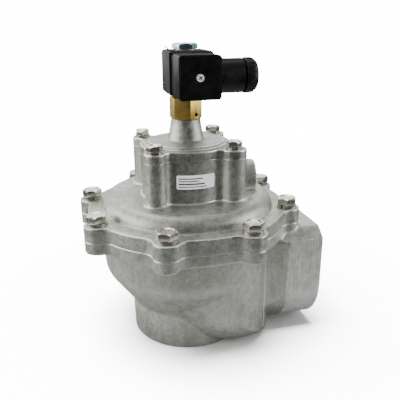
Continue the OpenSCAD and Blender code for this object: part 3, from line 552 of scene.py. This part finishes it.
def bulgeRadius(height):
    drop = max(lowerSkin["bulgeShoulder"] - height, 0.0)
    rounding = lowerSkin["bulgeRound"]
    return lowerSkin["bulge"] - rounding + math.sqrt(rounding ** 2 - drop ** 2)


# How far a ray from the flank's axis runs until it leaves the last of the circles
def reach(circles, way):
    longest = 0.0
    for place, radius in circles:
        off = place - lowerSkin["flankAt"]
        under = radius ** 2 - (off * way.y) ** 2
        if under > 0:
            longest = max(longest, off * way.x + math.sqrt(under))
    return longest


def realBowl(spot):
    if not lowerSkin["floor"] < spot.z < lowerSkin["top"]:
        return spot
    way = Vector((spot.x - lowerSkin["flankAt"], spot.y))
    out = way.length
    way.normalize()
    common = [(lowerSkin["bulgeAt"], bulgeRadius(spot.z)),
              (0.0, lowerSkin["outlet"] + lowerSkin["outletDraft"] * spot.z)]
    limit = reach([(0.0, lowerSkin["bowl"])], way)
    packed = min(limit, reach(common + [(0.0, bowlRadius(spot.z, *lowerSkin["packed"]))], way))
    flank = lowerSkin["flank"] + spot.z * math.tan(math.radians(lowerSkin["flankSlope"]))
    real = min(limit, reach(common + [(0.0, bowlRadius(spot.z, *lowerSkin["real"])),
                                      (lowerSkin["flankAt"], flank)], way))
    if abs(out - packed) > lowerSkin["near"]:
        return spot
    moved = out + real - packed
    return Vector((lowerSkin["flankAt"] + way.x * moved, way.y * moved, spot.z))


# Machined faces: axis, level, side, width of the broken edge and finish. A softer zone is a test of a point
# and its distance from the Z axis, with the passes that smooth it further
castRounding = {"weld": 0.02, "overrun": 4.0, "factor": 0.5, "merge": 0.002, "sharp": 35}
castings = {
    "valve_body": {"softer": [(lambda p, r: 43.6 < r < 62.9 and 4 < p.z < 62 and p.x < 42
                               and abs(p.y) > 8, 16)],
                   "voxel": 0.9, "passes": 3, "form": realBowl,
                   "looks": [castBody, turnedSeat, turnedInlet],
                   "faces": [(2, 89.6, 1, 0.5, 1), (2, 0.0, -1, 0.5, 1), (0, 93.0, 1, 0.5, 2)]},
    "main_cover": {"softer": [(lambda p, r: 31 < r < 50 and 103.0 < p.z < 108.6, 14)],
                   "voxel": 0.75, "passes": 2, "looks": [castCover, turnedSeat],
                   "faces": [(2, 89.6, -1, 0.3, 1), (2, 140.3, 1, 0.2, 1)]},
    "top_cover": {"voxel": 0.5, "passes": 3, "looks": [castTop, turnedSeat],
                  "faces": [(2, 140.3, -1, 0.15, 1), (2, 164.1, 1, 0.3, 1)]},
}


# Cuts the skin a little below the machined face, then adds the sloped edge and the face itself
def cutFlat(bm, axis, level, side, slope, look):
    normal = Vector((0, 0, 0))
    normal[axis] = side
    point = Vector((0, 0, 0))
    point[axis] = level - side * slope
    cut = bmesh.ops.bisect_plane(bm, geom=everything(bm), plane_co=point, plane_no=normal,
                                 clear_outer=True, dist=1e-7)
    rim = [e for e in cut["geom_cut"] if isinstance(e, bmesh.types.BMEdge) and e.is_valid]
    raised = {}
    for vert in dict.fromkeys(v for e in rim for v in e.verts):  # each point once, in a fixed order
        outward = sum((f.normal for f in vert.link_faces), Vector())
        outward[axis] = 0
        raised[vert] = bm.verts.new(vert.co + normal * slope - outward.normalized() * slope)
    top = []
    for edge in rim:
        a, b = edge.verts
        face = bm.faces.new((a, b, raised[b], raised[a]))
        face.normal_update()
        if face.normal.dot(sum((f.normal for f in edge.link_faces if f is not face), Vector())) < 0:
            face.normal_flip()
        face.material_index = look
        top.append(bm.edges.get((raised[a], raised[b])))
    lid = bmesh.ops.triangle_fill(bm, edges=top, use_beauty=True, normal=normal)
    for face in lid["geom"]:
        if isinstance(face, bmesh.types.BMFace):
            face.material_index = look


# The skin runs past each machined face before it is rounded, and is then cut back flat
def castSkin(nodeName, plan):
    rounding = castRounding
    bm = weldedCopy(nodeName, rounding["weld"])
    for axis, level, side, slope, look in plan["faces"]:
        for vert in bm.verts:
            if abs(vert.co[axis] - level * mm) < rounding["weld"] * mm:
                vert.co[axis] += side * rounding["overrun"] * mm
    piece = loose(nodeName + "_skin", meshOf(nodeName + "_skin", bm))
    remesh = piece.modifiers.new("skin", "REMESH")
    remesh.mode = "VOXEL"
    remesh.voxel_size = plan["voxel"] * mm
    if "form" in plan:
        baked(piece)
        for vert in piece.data.vertices:
            vert.co = plan["form"](vert.co / mm) * mm
    smoothing = piece.modifiers.new("smoothing", "SMOOTH")
    smoothing.factor = rounding["factor"]
    smoothing.iterations = plan["passes"]
    baked(piece)
    bm = bmesh.new()
    bm.from_mesh(piece.data)
    for axis, level, side, slope, look in plan["faces"]:
        cutFlat(bm, axis, level * mm, side, slope * mm, look)
    for inside, passes in plan.get("softer", []):
        chosen = [v for v in bm.verts if inside(v.co / mm, math.hypot(v.co.x, v.co.y) / mm)]
        for step in range(passes):
            bmesh.ops.smooth_vert(bm, verts=chosen, factor=rounding["factor"],
                                  use_axis_x=True, use_axis_y=True, use_axis_z=True)
    bmesh.ops.remove_doubles(bm, verts=bm.verts, dist=rounding["merge"] * mm)
    mesh = piece.data
    bm.to_mesh(mesh)
    bm.free()
    bpy.data.objects.remove(piece)
    return mesh


for nodeName, plan in castings.items():
    mesh = castSkin(nodeName, plan)
    sharpen(mesh, castRounding["sharp"])
    shown(nodeName + "_casting", mesh, plan["looks"], "housing", [nodeName])
    print(nodeName, "casting,", len(mesh.polygons), "faces")


# Thin flash that the mould's joint leaves in the corner between bulge and inlet, made lighter than the
# casting as a painted highlight
seam = {"x": 49.3, "y": 40.9, "heights": range(8, 80, 3), "radius": 0.42, "waver": (0.12, 0.1)}


def moldSeam(name, points, thick):
    curve = bpy.data.curves.new(name, "CURVE")
    curve.dimensions = "3D"
    curve.bevel_depth = thick * mm
    curve.bevel_resolution = 3
    curve.use_fill_caps = True
    line = curve.splines.new("POLY")
    line.points.add(len(points) - 1)
    for point, spot in zip(line.points, points):
        point.co = (*(Vector(spot) * mm), 1.0)
    piece = loose(name + "_curve", curve)
    graph = bpy.context.evaluated_depsgraph_get()
    mesh = bpy.data.meshes.new_from_object(piece.evaluated_get(graph))
    bpy.data.objects.remove(piece)
    shown(name, mesh, flashAndHighlight, "housing", smooth=True)


for side, name in ((-1, "front_seam"), (1, "back_seam")):
    waverX, waverY = seam["waver"]
    points = [(seam["x"] + waverX * math.sin(z), side * (seam["y"] + waverY * math.cos(2 * z)), z)
              for z in seam["heights"]]
    moldSeam(name, points, seam["radius"])


# Threads in the ports: ridges on a sleeve, one pitch apart along the port's axis
pipeThread = {"pitch": 2.309, "depth": 0.95, "start": 1.2, "short": 1.6}
exhaustThread = {"radius": 5.9, "length": 14.0, "pitch": 1.337, "depth": 0.5, "mouth": (50.6, 0, 120.3)}
sleeve = {"back": 0.25, "clear": 0.04, "runOut": 1.2, "perPitch": 8, "steps": 90, "sharp": 60}


def threadSleeve(name, radius, length, pitch, depth, place):
    count = round(length / pitch * sleeve["perPitch"])
    runOut = sleeve["runOut"] * pitch

    def ridge(level):
        fade = min(1.0, level / runOut, (length - level) / runOut)

        def radiusAt(a):
            phase = (level / pitch - a / (2 * math.pi)) % 1.0
            return radius - sleeve["clear"] - depth * fade * (1.0 - abs(2.0 * phase - 1.0))
        return radiusAt

    back = radius + sleeve["back"]
    levels = [i * length / count for i in range(count + 1)]
    rings = [(back, 0.0)] + [(ridge(level), level) for level in levels] + [(back, length)]
    bm = bmesh.new()
    polar(bm, rings, sleeve["steps"], place, looped=True)
    bmesh.ops.recalc_face_normals(bm, faces=bm.faces)
    mesh = meshOf(name, bm)
    sharpen(mesh, sleeve["sharp"])
    shown(name, mesh, turnedSeat, "housing")


inward = Matrix.Rotation(-math.pi / 2, 4, "Y")
outletMouth = Vector((0, 0, pipeThread["start"])) * mm
inletMouth = Vector((inletPort["reach"] - pipeThread["start"], 0, inletPort["height"])) * mm
exhaustMouth = Vector(exhaustThread["mouth"]) * mm
threadSleeve("outlet_thread", outletPort["radius"], outletPort["depth"] - pipeThread["short"],
             pipeThread["pitch"], pipeThread["depth"], Matrix.Translation(outletMouth))
threadSleeve("inlet_thread", inletPort["radius"], inletPort["depth"] - pipeThread["short"],
             pipeThread["pitch"], pipeThread["depth"], Matrix.Translation(inletMouth) @ inward)
threadSleeve("exhaust_thread", exhaustThread["radius"], exhaustThread["length"],
             exhaustThread["pitch"], exhaustThread["depth"], Matrix.Translation(exhaustMouth) @ inward)
print("threads")


flangeBolt = {"ring": 74.5, "count": 8, "first": 22.5, "flats": 13.0, "head": 5.3, "shank": 4.0,
              "seat": 102.3, "end": 81.5, "washer": 2.0, "turns": [8, 31, -12, 22, 47, 3, 18, -20]}
coverBolt = {"ring": 39.3, "count": 4, "first": 45.0, "flats": 10.0, "head": 4.0, "shank": 3.0,
             "seat": 148.1, "end": 128.3, "washer": 1.6, "turns": [14, -8, 25, 5]}
# Shares of the width across flats, and the dish as steps inwards and down from the top
boltHead = {"fit": 0.985, "face": 0.44, "faceEdge": 0.46, "chamfer": 0.47, "slope": 0.55, "point": 0.8,
            "under": 0.985, "shoulder": 0.99,
            "dish": [(0.0, 0.04), (0.35, 0.0), (0.9, 0.08), (1.5, 0.55), (2.6, 0.85)],
            "middle": (0.6, 0.95), "sharp": 28}
washerForm = {"steps": 44, "gap": 9, "corner": 0.16, "spread": 0.12, "clear": 0.25, "cover": 0.92,
              "thinner": 0.05, "firstGap": 40, "gapStep": 77}


def hexBolt(bm, size, place, turn):
    flats = size["flats"]
    shank = size["shank"]
    top = size["head"]
    length = size["seat"] - size["end"]
    outer = hexRadius(flats * boltHead["fit"])
    start = flats * boltHead["chamfer"]
    slope = chamferHeight(flats, top, start, boltHead["slope"])
    middle, deepest = boltHead["middle"]
    rings = [
        (shank * boltHead["point"], -length), (shank, 1.0 - length), (shank, -0.3),
        (flats * boltHead["face"], -0.01), (flats * boltHead["faceEdge"], 0.22),
        (lambda a: outer(a) * boltHead["under"], 0.3), (outer, 0.6), (outer, lambda a: slope(a) - 0.35),
        (lambda a: outer(a) * boltHead["shoulder"], lambda a: slope(a) - 0.05),
    ]
    rings += [(start - into, top - down) for into, down in boltHead["dish"]] + [(middle, top - deepest)]
    polar(bm, rings, hexSteps, place, turn=math.radians(turn))


def springWasher(bm, inner, outer, thick, place, turn):
    steps = washerForm["steps"]
    gap = math.radians(washerForm["gap"])
    corner = washerForm["corner"]
    section = [
        (inner, corner), (inner + corner, 0), (outer - corner, 0), (outer, corner),
        (outer, thick - corner), (outer - corner, thick), (inner + corner, thick), (inner, thick - corner),
    ]
    rows = []
    for i in range(steps + 1):
        a = math.radians(turn) + gap / 2 + (2 * math.pi - gap) * i / steps
        lift = washerForm["spread"] * (i / steps - 0.5)
        rows.append([bm.verts.new(place @ (Vector((r * math.cos(a), r * math.sin(a), z + lift)) * mm))
                     for r, z in section])
    count = len(section)
    for low, high in zip(rows, rows[1:]):
        for i in range(count):
            j = (i + 1) % count
            bm.faces.new((low[i], low[j], high[j], high[i]))
    bm.faces.new(list(reversed(rows[0])))
    bm.faces.new(rows[-1])


for name, size, replaced, washerName in (
    ("flange_bolt_set", flangeBolt, "flange_bolts", "flange_spring_washers"),
    ("cover_bolt_set", coverBolt, "top_cover_bolts", "top_cover_spring_washers"),
):
    bolts = bmesh.new()
    washers = bmesh.new()
    for i in range(size["count"]):
        angle = math.radians(size["first"] + i * 360 / size["count"])
        spot = Vector((size["ring"] * math.cos(angle), size["ring"] * math.sin(angle), size["seat"])) * mm
        hexBolt(bolts, size, Matrix.Translation(spot), size["turns"][i])
        below = spot - Vector((0, 0, size["washer"] * mm))
        corners = size["flats"] / 2 / math.cos(math.pi / 6)
        springWasher(washers, size["shank"] + washerForm["clear"],
                     corners * washerForm["cover"] + washerForm["clear"],
                     size["washer"] - washerForm["thinner"], Matrix.Translation(below),
                     washerForm["firstGap"] + washerForm["gapStep"] * i)
    for bm, piece, look, slotName, node in (
        (bolts, name, boltPlate, "plated_steel", replaced),
        (washers, name + "_washers", washerPlate, "plated_steel", washerName),
    ):
        bmesh.ops.recalc_face_normals(bm, faces=bm.faces)
        mesh = meshOf(piece, bm)
        sharpen(mesh, boltHead["sharp"])
        shown(piece, mesh, look, "housing", [node])
    print(name)


# Edges of a moulding: angles in degrees, lengths in millimetres
mouldedEdge = {"weld": 0.01, "flat": 0.6, "angle": 32, "sharp": 38}


def roundedCopy(nodeName, pieceName, width, look, body, segments=2):
    bm = weldedCopy(nodeName, mouldedEdge["weld"])
    bmesh.ops.dissolve_limit(bm, angle_limit=math.radians(mouldedEdge["flat"]), verts=bm.verts,
                             edges=bm.edges)
    piece = loose(pieceName + "_draft", meshOf(pieceName + "_draft", bm))
    bevel = piece.modifiers.new("edges", "BEVEL")
    bevel.width = width * mm
    bevel.segments = segments
    bevel.limit_method = "ANGLE"
    bevel.angle_limit = math.radians(mouldedEdge["angle"])
    bevel.use_clamp_overlap = True
    baked(piece)
    mesh = piece.data
    bpy.data.objects.remove(piece)
    mesh.name = pieceName
    mesh.materials.clear()
    sharpen(mesh, mouldedEdge["sharp"])
    shown(pieceName, mesh, look, body, [nodeName])


roundedCopy("coil_body", "coil_moulding", 0.7, coilResin, "coil", 3)
roundedCopy("plug_housing", "plug_moulding", 0.55, plugPlastic, "coil", 3)
roundedCopy("gland_nut", "gland_nut_moulding", 0.25, plugPlastic, "gland_nut", 2)


coilNut = {"flats": 15.6, "low": 212.1, "top": 3.8, "turn": 22.0, "bore": 4.2}


def nutPiece(plan):
    flats = plan["flats"]
    top = plan["top"]
    bore = plan["bore"]
    outer = hexRadius(flats * 0.99)
    start = flats * boltHead["chamfer"]
    slope = chamferHeight(flats, top, start)
    rings = [
        (bore + 0.2, 0.02), (lambda a: outer(a) * boltHead["under"], 0.02), (outer, 0.12),
        (outer, lambda a: slope(a) - 0.3),
        (lambda a: outer(a) * boltHead["shoulder"], lambda a: slope(a) - 0.05),
        (start, top - 0.04), (flats * 0.45, top), (bore + 0.4, top), (bore, top - 0.4),
    ]
    bm = bmesh.new()
    polar(bm, rings, hexSteps, Matrix.Translation((0, 0, plan["low"] * mm)), looped=True,
          turn=math.radians(plan["turn"]))
    bmesh.ops.recalc_face_normals(bm, faces=bm.faces)
    mesh = meshOf("coil_nut_turned", bm)
    sharpen(mesh, boltHead["sharp"])
    shown("coil_nut_turned", mesh, blueZinc, "housing", ["coil_nut"])


nutPiece(coilNut)


crossScrew = {"shank": 1.45, "head": 2.35, "tall": 1.8, "arm": 0.34, "armReach": 1.55, "deep": 0.85,
              "turn": 28.0, "steps": 96, "sharp": 40, "shadeFrom": 0.3, "shadeReach": 1.06}


# Cross-head screw, with the recess sunk by the height of its rings
def crossHeadScrew(plan):
    points = [v.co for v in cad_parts["plug_screw"].data.vertices]
    front = min(p.y for p in points)
    level = (min(p.z for p in points) + max(p.z for p in points)) / 2
    length = (max(p.y for p in points) - front) / mm

    def face(r):
        def height(a):
            near = min(abs(r * math.sin(a)), abs(r * math.cos(a)))
            sunk = plan["deep"] if near < plan["arm"] and r < plan["armReach"] else 0.0
            return -0.05 - 0.03 * r * r - sunk
        return height

    head = plan["head"]
    tall = plan["tall"]
    rings = [(plan["shank"], -length), (plan["shank"], -tall), (head - 0.1, -tall), (head, 0.15 - tall),
             (head, -0.5), (head - 0.12, -0.3)]
    rings += [(r / 10, face(r / 10)) for r in range(21, 1, -1)]
    bm = bmesh.new()
    forward = Matrix.Translation((0, front, level)) @ Matrix.Rotation(math.pi / 2, 4, "X")
    polar(bm, rings, plan["steps"], forward, turn=math.radians(plan["turn"]))
    bmesh.ops.recalc_face_normals(bm, faces=bm.faces)
    mesh = meshOf("plug_screw_head", bm)
    sharpen(mesh, plan["sharp"])
    # Painted shade: faces deep in the cross recess take the black material
    for part in mesh.polygons:
        across = math.hypot(part.center.x, part.center.z - level)
        deep = part.center.y > front + plan["shadeFrom"] * mm
        if deep and across < plan["armReach"] * plan["shadeReach"] * mm:
            part.material_index = 1
    shown("plug_screw_head", mesh, [screwZinc, blackSteelAndShade], "coil", ["plug_screw"])


crossHeadScrew(crossScrew)
roundedCopy("brass_base", "brass_base_milled", 0.15, brass, "housing", 2)
print("pilot and plug")


# Strips of the curved film, lower at both ends where its corners are round
def labelPiece(plan):
    columns = plan["columns"]
    half = math.radians(plan["span"]) * plan["radius"] / 2 - plan["inset"]
    corner = plan["corner"]
    middle = math.radians(plan["turn"])
    rows = []
    bm = bmesh.new()
    for i in range(columns + 1):
        along = half * -math.cos(math.pi * i / columns)
        into = max(0.0, abs(along) - (half - corner))
        tall = plan["height"] / 2 - corner + math.sqrt(max(0.0, corner ** 2 - into ** 2))
        a = middle + along / plan["radius"]
        row = []
        under = plan["radius"] + plan["lift"]
        over = plan["radius"] + plan["thick"]
        for r, z in ((under, -tall), (over, -tall), (over, tall), (under, tall)):
            spot = Vector((r * math.cos(a), r * math.sin(a), plan["middle"] + z))
            row.append(bm.verts.new(spot * mm))
        rows.append(row)
    for low, high in zip(rows, rows[1:]):
        for k in range(4):
            n = (k + 1) % 4
            bm.faces.new((low[k], low[n], high[n], high[k]))
    bm.faces.new(rows[0])
    bm.faces.new(list(reversed(rows[-1])))
    bmesh.ops.recalc_face_normals(bm, faces=bm.faces)
    mesh = meshOf("label_film", bm)
    sharpen(mesh, plan["sharp"])
    shown("label_film", mesh, labelFilm(plan), "housing", ["tower_label"])


labelPiece(labelPlan)
print("label")


# Coil springs, copied as they are: the joint, its travel and the height of the seat that stays
springs = {
    "main_spring": ("main_diaphragm_lift", 9.0, 108.0),
    "pilot_spring": ("pilot_diaphragm_lift", 2.3, 154.1),
    "plunger_spring": ("plunger_travel", 1.5, 195.0),
}


def closingSpring(nodeName, joint, travel, seat):
    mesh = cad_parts[nodeName].data.copy()
    mesh.name = nodeName + "_wire"
    mesh.materials.clear()
    low = min(v.co.z for v in mesh.vertices) / mm
    piece = shown(mesh.name, mesh, steel, "housing", [nodeName])
    seat * mm
    1.0 - travel / (seat - low)
    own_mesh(piece)


for nodeName, settings in springs.items():
    closingSpring(nodeName, *settings)


# Membranes are clamped at the rim and lifted in the middle: each is cut into narrow sectors, and these into
# rings over the free ring
membranes = {
    "main_membrane": {"body": "main_diaphragm", "inner": 38.0, "outer": 52.5, "sectors": 8, "cuts": 8},
    "pilot_membrane": {"body": "pilot_diaphragm", "inner": 17.6, "outer": 25.0, "sectors": 8, "cuts": 6},
}
membraneWeld = 0.002
membraneSharp = 35


def bentMembrane(nodeName, plan):
    share = 2 * math.pi / plan["sectors"]
    for i in range(plan["sectors"]):
        bm = weldedCopy(nodeName, membraneWeld)
        middle = share * i
        way = Vector((math.cos(middle), math.sin(middle), 0))
        cuts = []
        for side in (-1, 1):
            a = middle + side * share / 2
            cuts.append((Vector((0, 0, 0)), Vector((-math.sin(a), math.cos(a), 0)) * side, True))
        for k in range(plan["cuts"] + 1):
            level = plan["inner"] + (plan["outer"] - plan["inner"]) * k / plan["cuts"]
            cuts.append((way * level * mm, way, False))
        for spot, normal, outerGone in cuts:
            bmesh.ops.bisect_plane(bm, geom=everything(bm), plane_co=spot, plane_no=normal,
                                   clear_outer=outerGone, dist=1e-7)
        name = nodeName + "_part_" + str(i + 1)
        mesh = meshOf(name, bm)
        sharpen(mesh, membraneSharp)
        mesh.materials.append(blackRubber)
        piece = loose(name, mesh)
        tuple(way * plan["inner"] * mm)
        tuple(way * plan["outer"] * mm)
        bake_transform(piece)
        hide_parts(nodeName)


for nodeName, plan in membranes.items():
    bentMembrane(nodeName, plan)
print("springs and membranes")


# CAD nodes that stay as they are
kept = {
    "main_seat_pad": blackRubber, "main_lower_plate": steel, "main_upper_plate": steel,
    "main_centre_bolt": boltPlate, "main_centre_nut": boltPlate, "pilot_seal_disc": blackRubber,
    "pilot_clamp_plate": steel, "pilot_rivet": steel, "base_seal_ring": blackRubber,
    "armature_tube": steel, "fixed_core": steel, "plunger": steel, "plunger_seal": redRubber,
    "coil_terminals": boltPlate, "tab_washer": blackSteelAndShade, "plug_gasket": blackRubber,
    "terminal_block": greyPlastic, "gland_seal": blackRubber, "gland_washer": washerPlate,
}
for nodeName, look in kept.items():
    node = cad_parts[nodeName]
    node.data.materials.clear()
    node.data.materials.append(look)


# Camera fitted to the photograph: place in metres, lens in millimetres, roll in degrees
view = {
    "place": (-0.079743, -0.355570, 0.229396), "lens": 45.745,
    "right": (0.9694, -0.2454, 0.0), "up": (0.0813, 0.3210, 0.9436), "roll": -0.32,
}
camData = bpy.data.cameras.new("camera")
camera = bpy.data.objects.new("camera", camData)
bpy.context.scene.collection.objects.link(camera)
camData.sensor_width = 36.0
camData.lens = view["lens"]
camData.clip_start = 0.02
camData.clip_end = 50.0
flatRight = Vector(view["right"]).normalized()
flatUp = Vector(view["up"]).normalized()
roll = math.radians(view["roll"])
camRight = flatRight * math.cos(roll) + flatUp * math.sin(roll)
camUp = flatUp * math.cos(roll) - flatRight * math.sin(roll)
camBack = camRight.cross(camUp)
turned = Matrix((camRight, camUp, camBack)).transposed()
camera.matrix_world = Matrix.Translation(Vector(view["place"])) @ turned.to_4x4()
bpy.context.scene.camera = camera

# The floor is white round the part and as bright as the backdrop further out. What the part mirrors of it
# is brightest close by, dim further away and dark in an oval under the part, where its own shadow falls
stage = {"size": 3.0, "near": 0.13, "far": 0.30, "white": 16.0, "paint": 0.92,
         "bounceNear": 0.86, "bounceFar": 0.05, "bounceStart": 0.10, "bounceEnd": 0.325,
         "footMiddle": (0.034, 0, 0), "footShape": (0.66, 1, 0), "footStart": 0.036, "footEnd": 0.094,
         "footDark": 0.14}


def floorPaint(plan):
    f = Finish("floor_paint", roughness=0.6, colour=(plan["paint"],) * 3)
    f.tree.nodes.remove(next(n for n in f.tree.nodes if n.type == "OUTPUT_MATERIAL"))
    reach = f.away((0, 0, 0), (1, 1, 0))
    glow = f.add("ShaderNodeEmission", inputs={0: (1, 1, 1, 1), 1: plan["white"]})
    further = f.span(reach, plan["near"], plan["far"])
    paint = f.add("ShaderNodeMixShader", inputs={0: further, 1: Value(f, f.shader.outputs[0]), 2: glow})
    foot = f.away(plan["footMiddle"], plan["footShape"])
    level = f.span(reach, plan["bounceStart"], plan["bounceEnd"], plan["bounceNear"], plan["bounceFar"])
    level = level * f.span(foot, plan["footStart"], plan["footEnd"], plan["footDark"], 1.0)
    bounce = f.add("ShaderNodeEmission", inputs={0: (1, 1, 1, 1), 1: level})
    seen = f.add("ShaderNodeLightPath")
    both = f.add("ShaderNodeMixShader", inputs={0: seen, 1: bounce, 2: paint})
    f.add("ShaderNodeOutputMaterial", inputs={0: both})
    return f.material


bm = bmesh.new()
bmesh.ops.create_grid(bm, x_segments=2, y_segments=2, size=stage["size"])
floorMesh = meshOf("floor", bm)
floor = loose("floor", floorMesh)
floor.location = (0, 0, cadLow.z - 0.00005)
floorMesh.materials.append(floorPaint(stage))

# Name, place in metres, size, power and colour; the floor box lights the floor alone
lights = [
    ("left_box", (-1.0, 0.1, 0.28), 1.15, 18.5, (1.0, 0.995, 0.98)),
    ("right_box", (1.05, -0.35, 0.34), 0.9, 10.0, (0.985, 0.99, 1.0)),
    ("top_box", (0.0, 0.45, 1.2), 0.9, 8.0, (1.0, 1.0, 1.0)),
    ("floor_box", (-0.24, 0.0, 1.28), 0.8, 270.0, (1.0, 1.0, 1.0)),
]
lightAim = Vector((0, 0, 0.09))
floorOnly = bpy.data.collections.new("floor_only")
floorOnly.objects.link(floor)
for name, spot, size, power, colour in lights:
    lamp = bpy.data.lights.new(name, "AREA")
    lamp.shape = "SQUARE"
    lamp.size = size
    lamp.energy = power
    lamp.color = colour
    holder = bpy.data.objects.new(name, lamp)
    bpy.context.scene.collection.objects.link(holder)
    holder.location = spot
    aim = lightAim - Vector(spot)
    holder.rotation_mode = "QUATERNION"
    holder.rotation_quaternion = aim.to_track_quat("-Z", "Y")
    if name == "floor_box":
        holder.light_linking.receiver_collection = floorOnly

# Studio surroundings: bright behind, less overhead, darkest in front of the part
studio = {"side": 0.044, "up": 0.28, "upFrom": (0.05, 0.9), "back": 1.6, "backFrom": (0.25, 0.95),
          "backdrop": 16.0}
world = bpy.data.worlds.new("studio")
bpy.context.scene.world = world
world.use_nodes = True
sky = Sheet(world.node_tree)
direction = sky.add("ShaderNodeTexCoord")
height = sky.add("ShaderNodeSeparateXYZ", inputs={0: direction}, output=2)
depth = sky.add("ShaderNodeSeparateXYZ", inputs={0: direction}, output=1)
above = sky.span(height, *studio["upFrom"], 0.0, studio["up"])
behind = sky.span(depth, *studio["backFrom"], 0.0, studio["back"])
glow = above + behind
seen = sky.add("ShaderNodeLightPath")
strength = (glow + studio["side"]) * (1.0 - seen) + seen * studio["backdrop"]
surround = sky.add("ShaderNodeBackground", inputs={0: (1, 1, 1, 1), 1: strength})
sky.add("ShaderNodeOutputWorld", inputs={0: surround})
print("camera, floor and light")
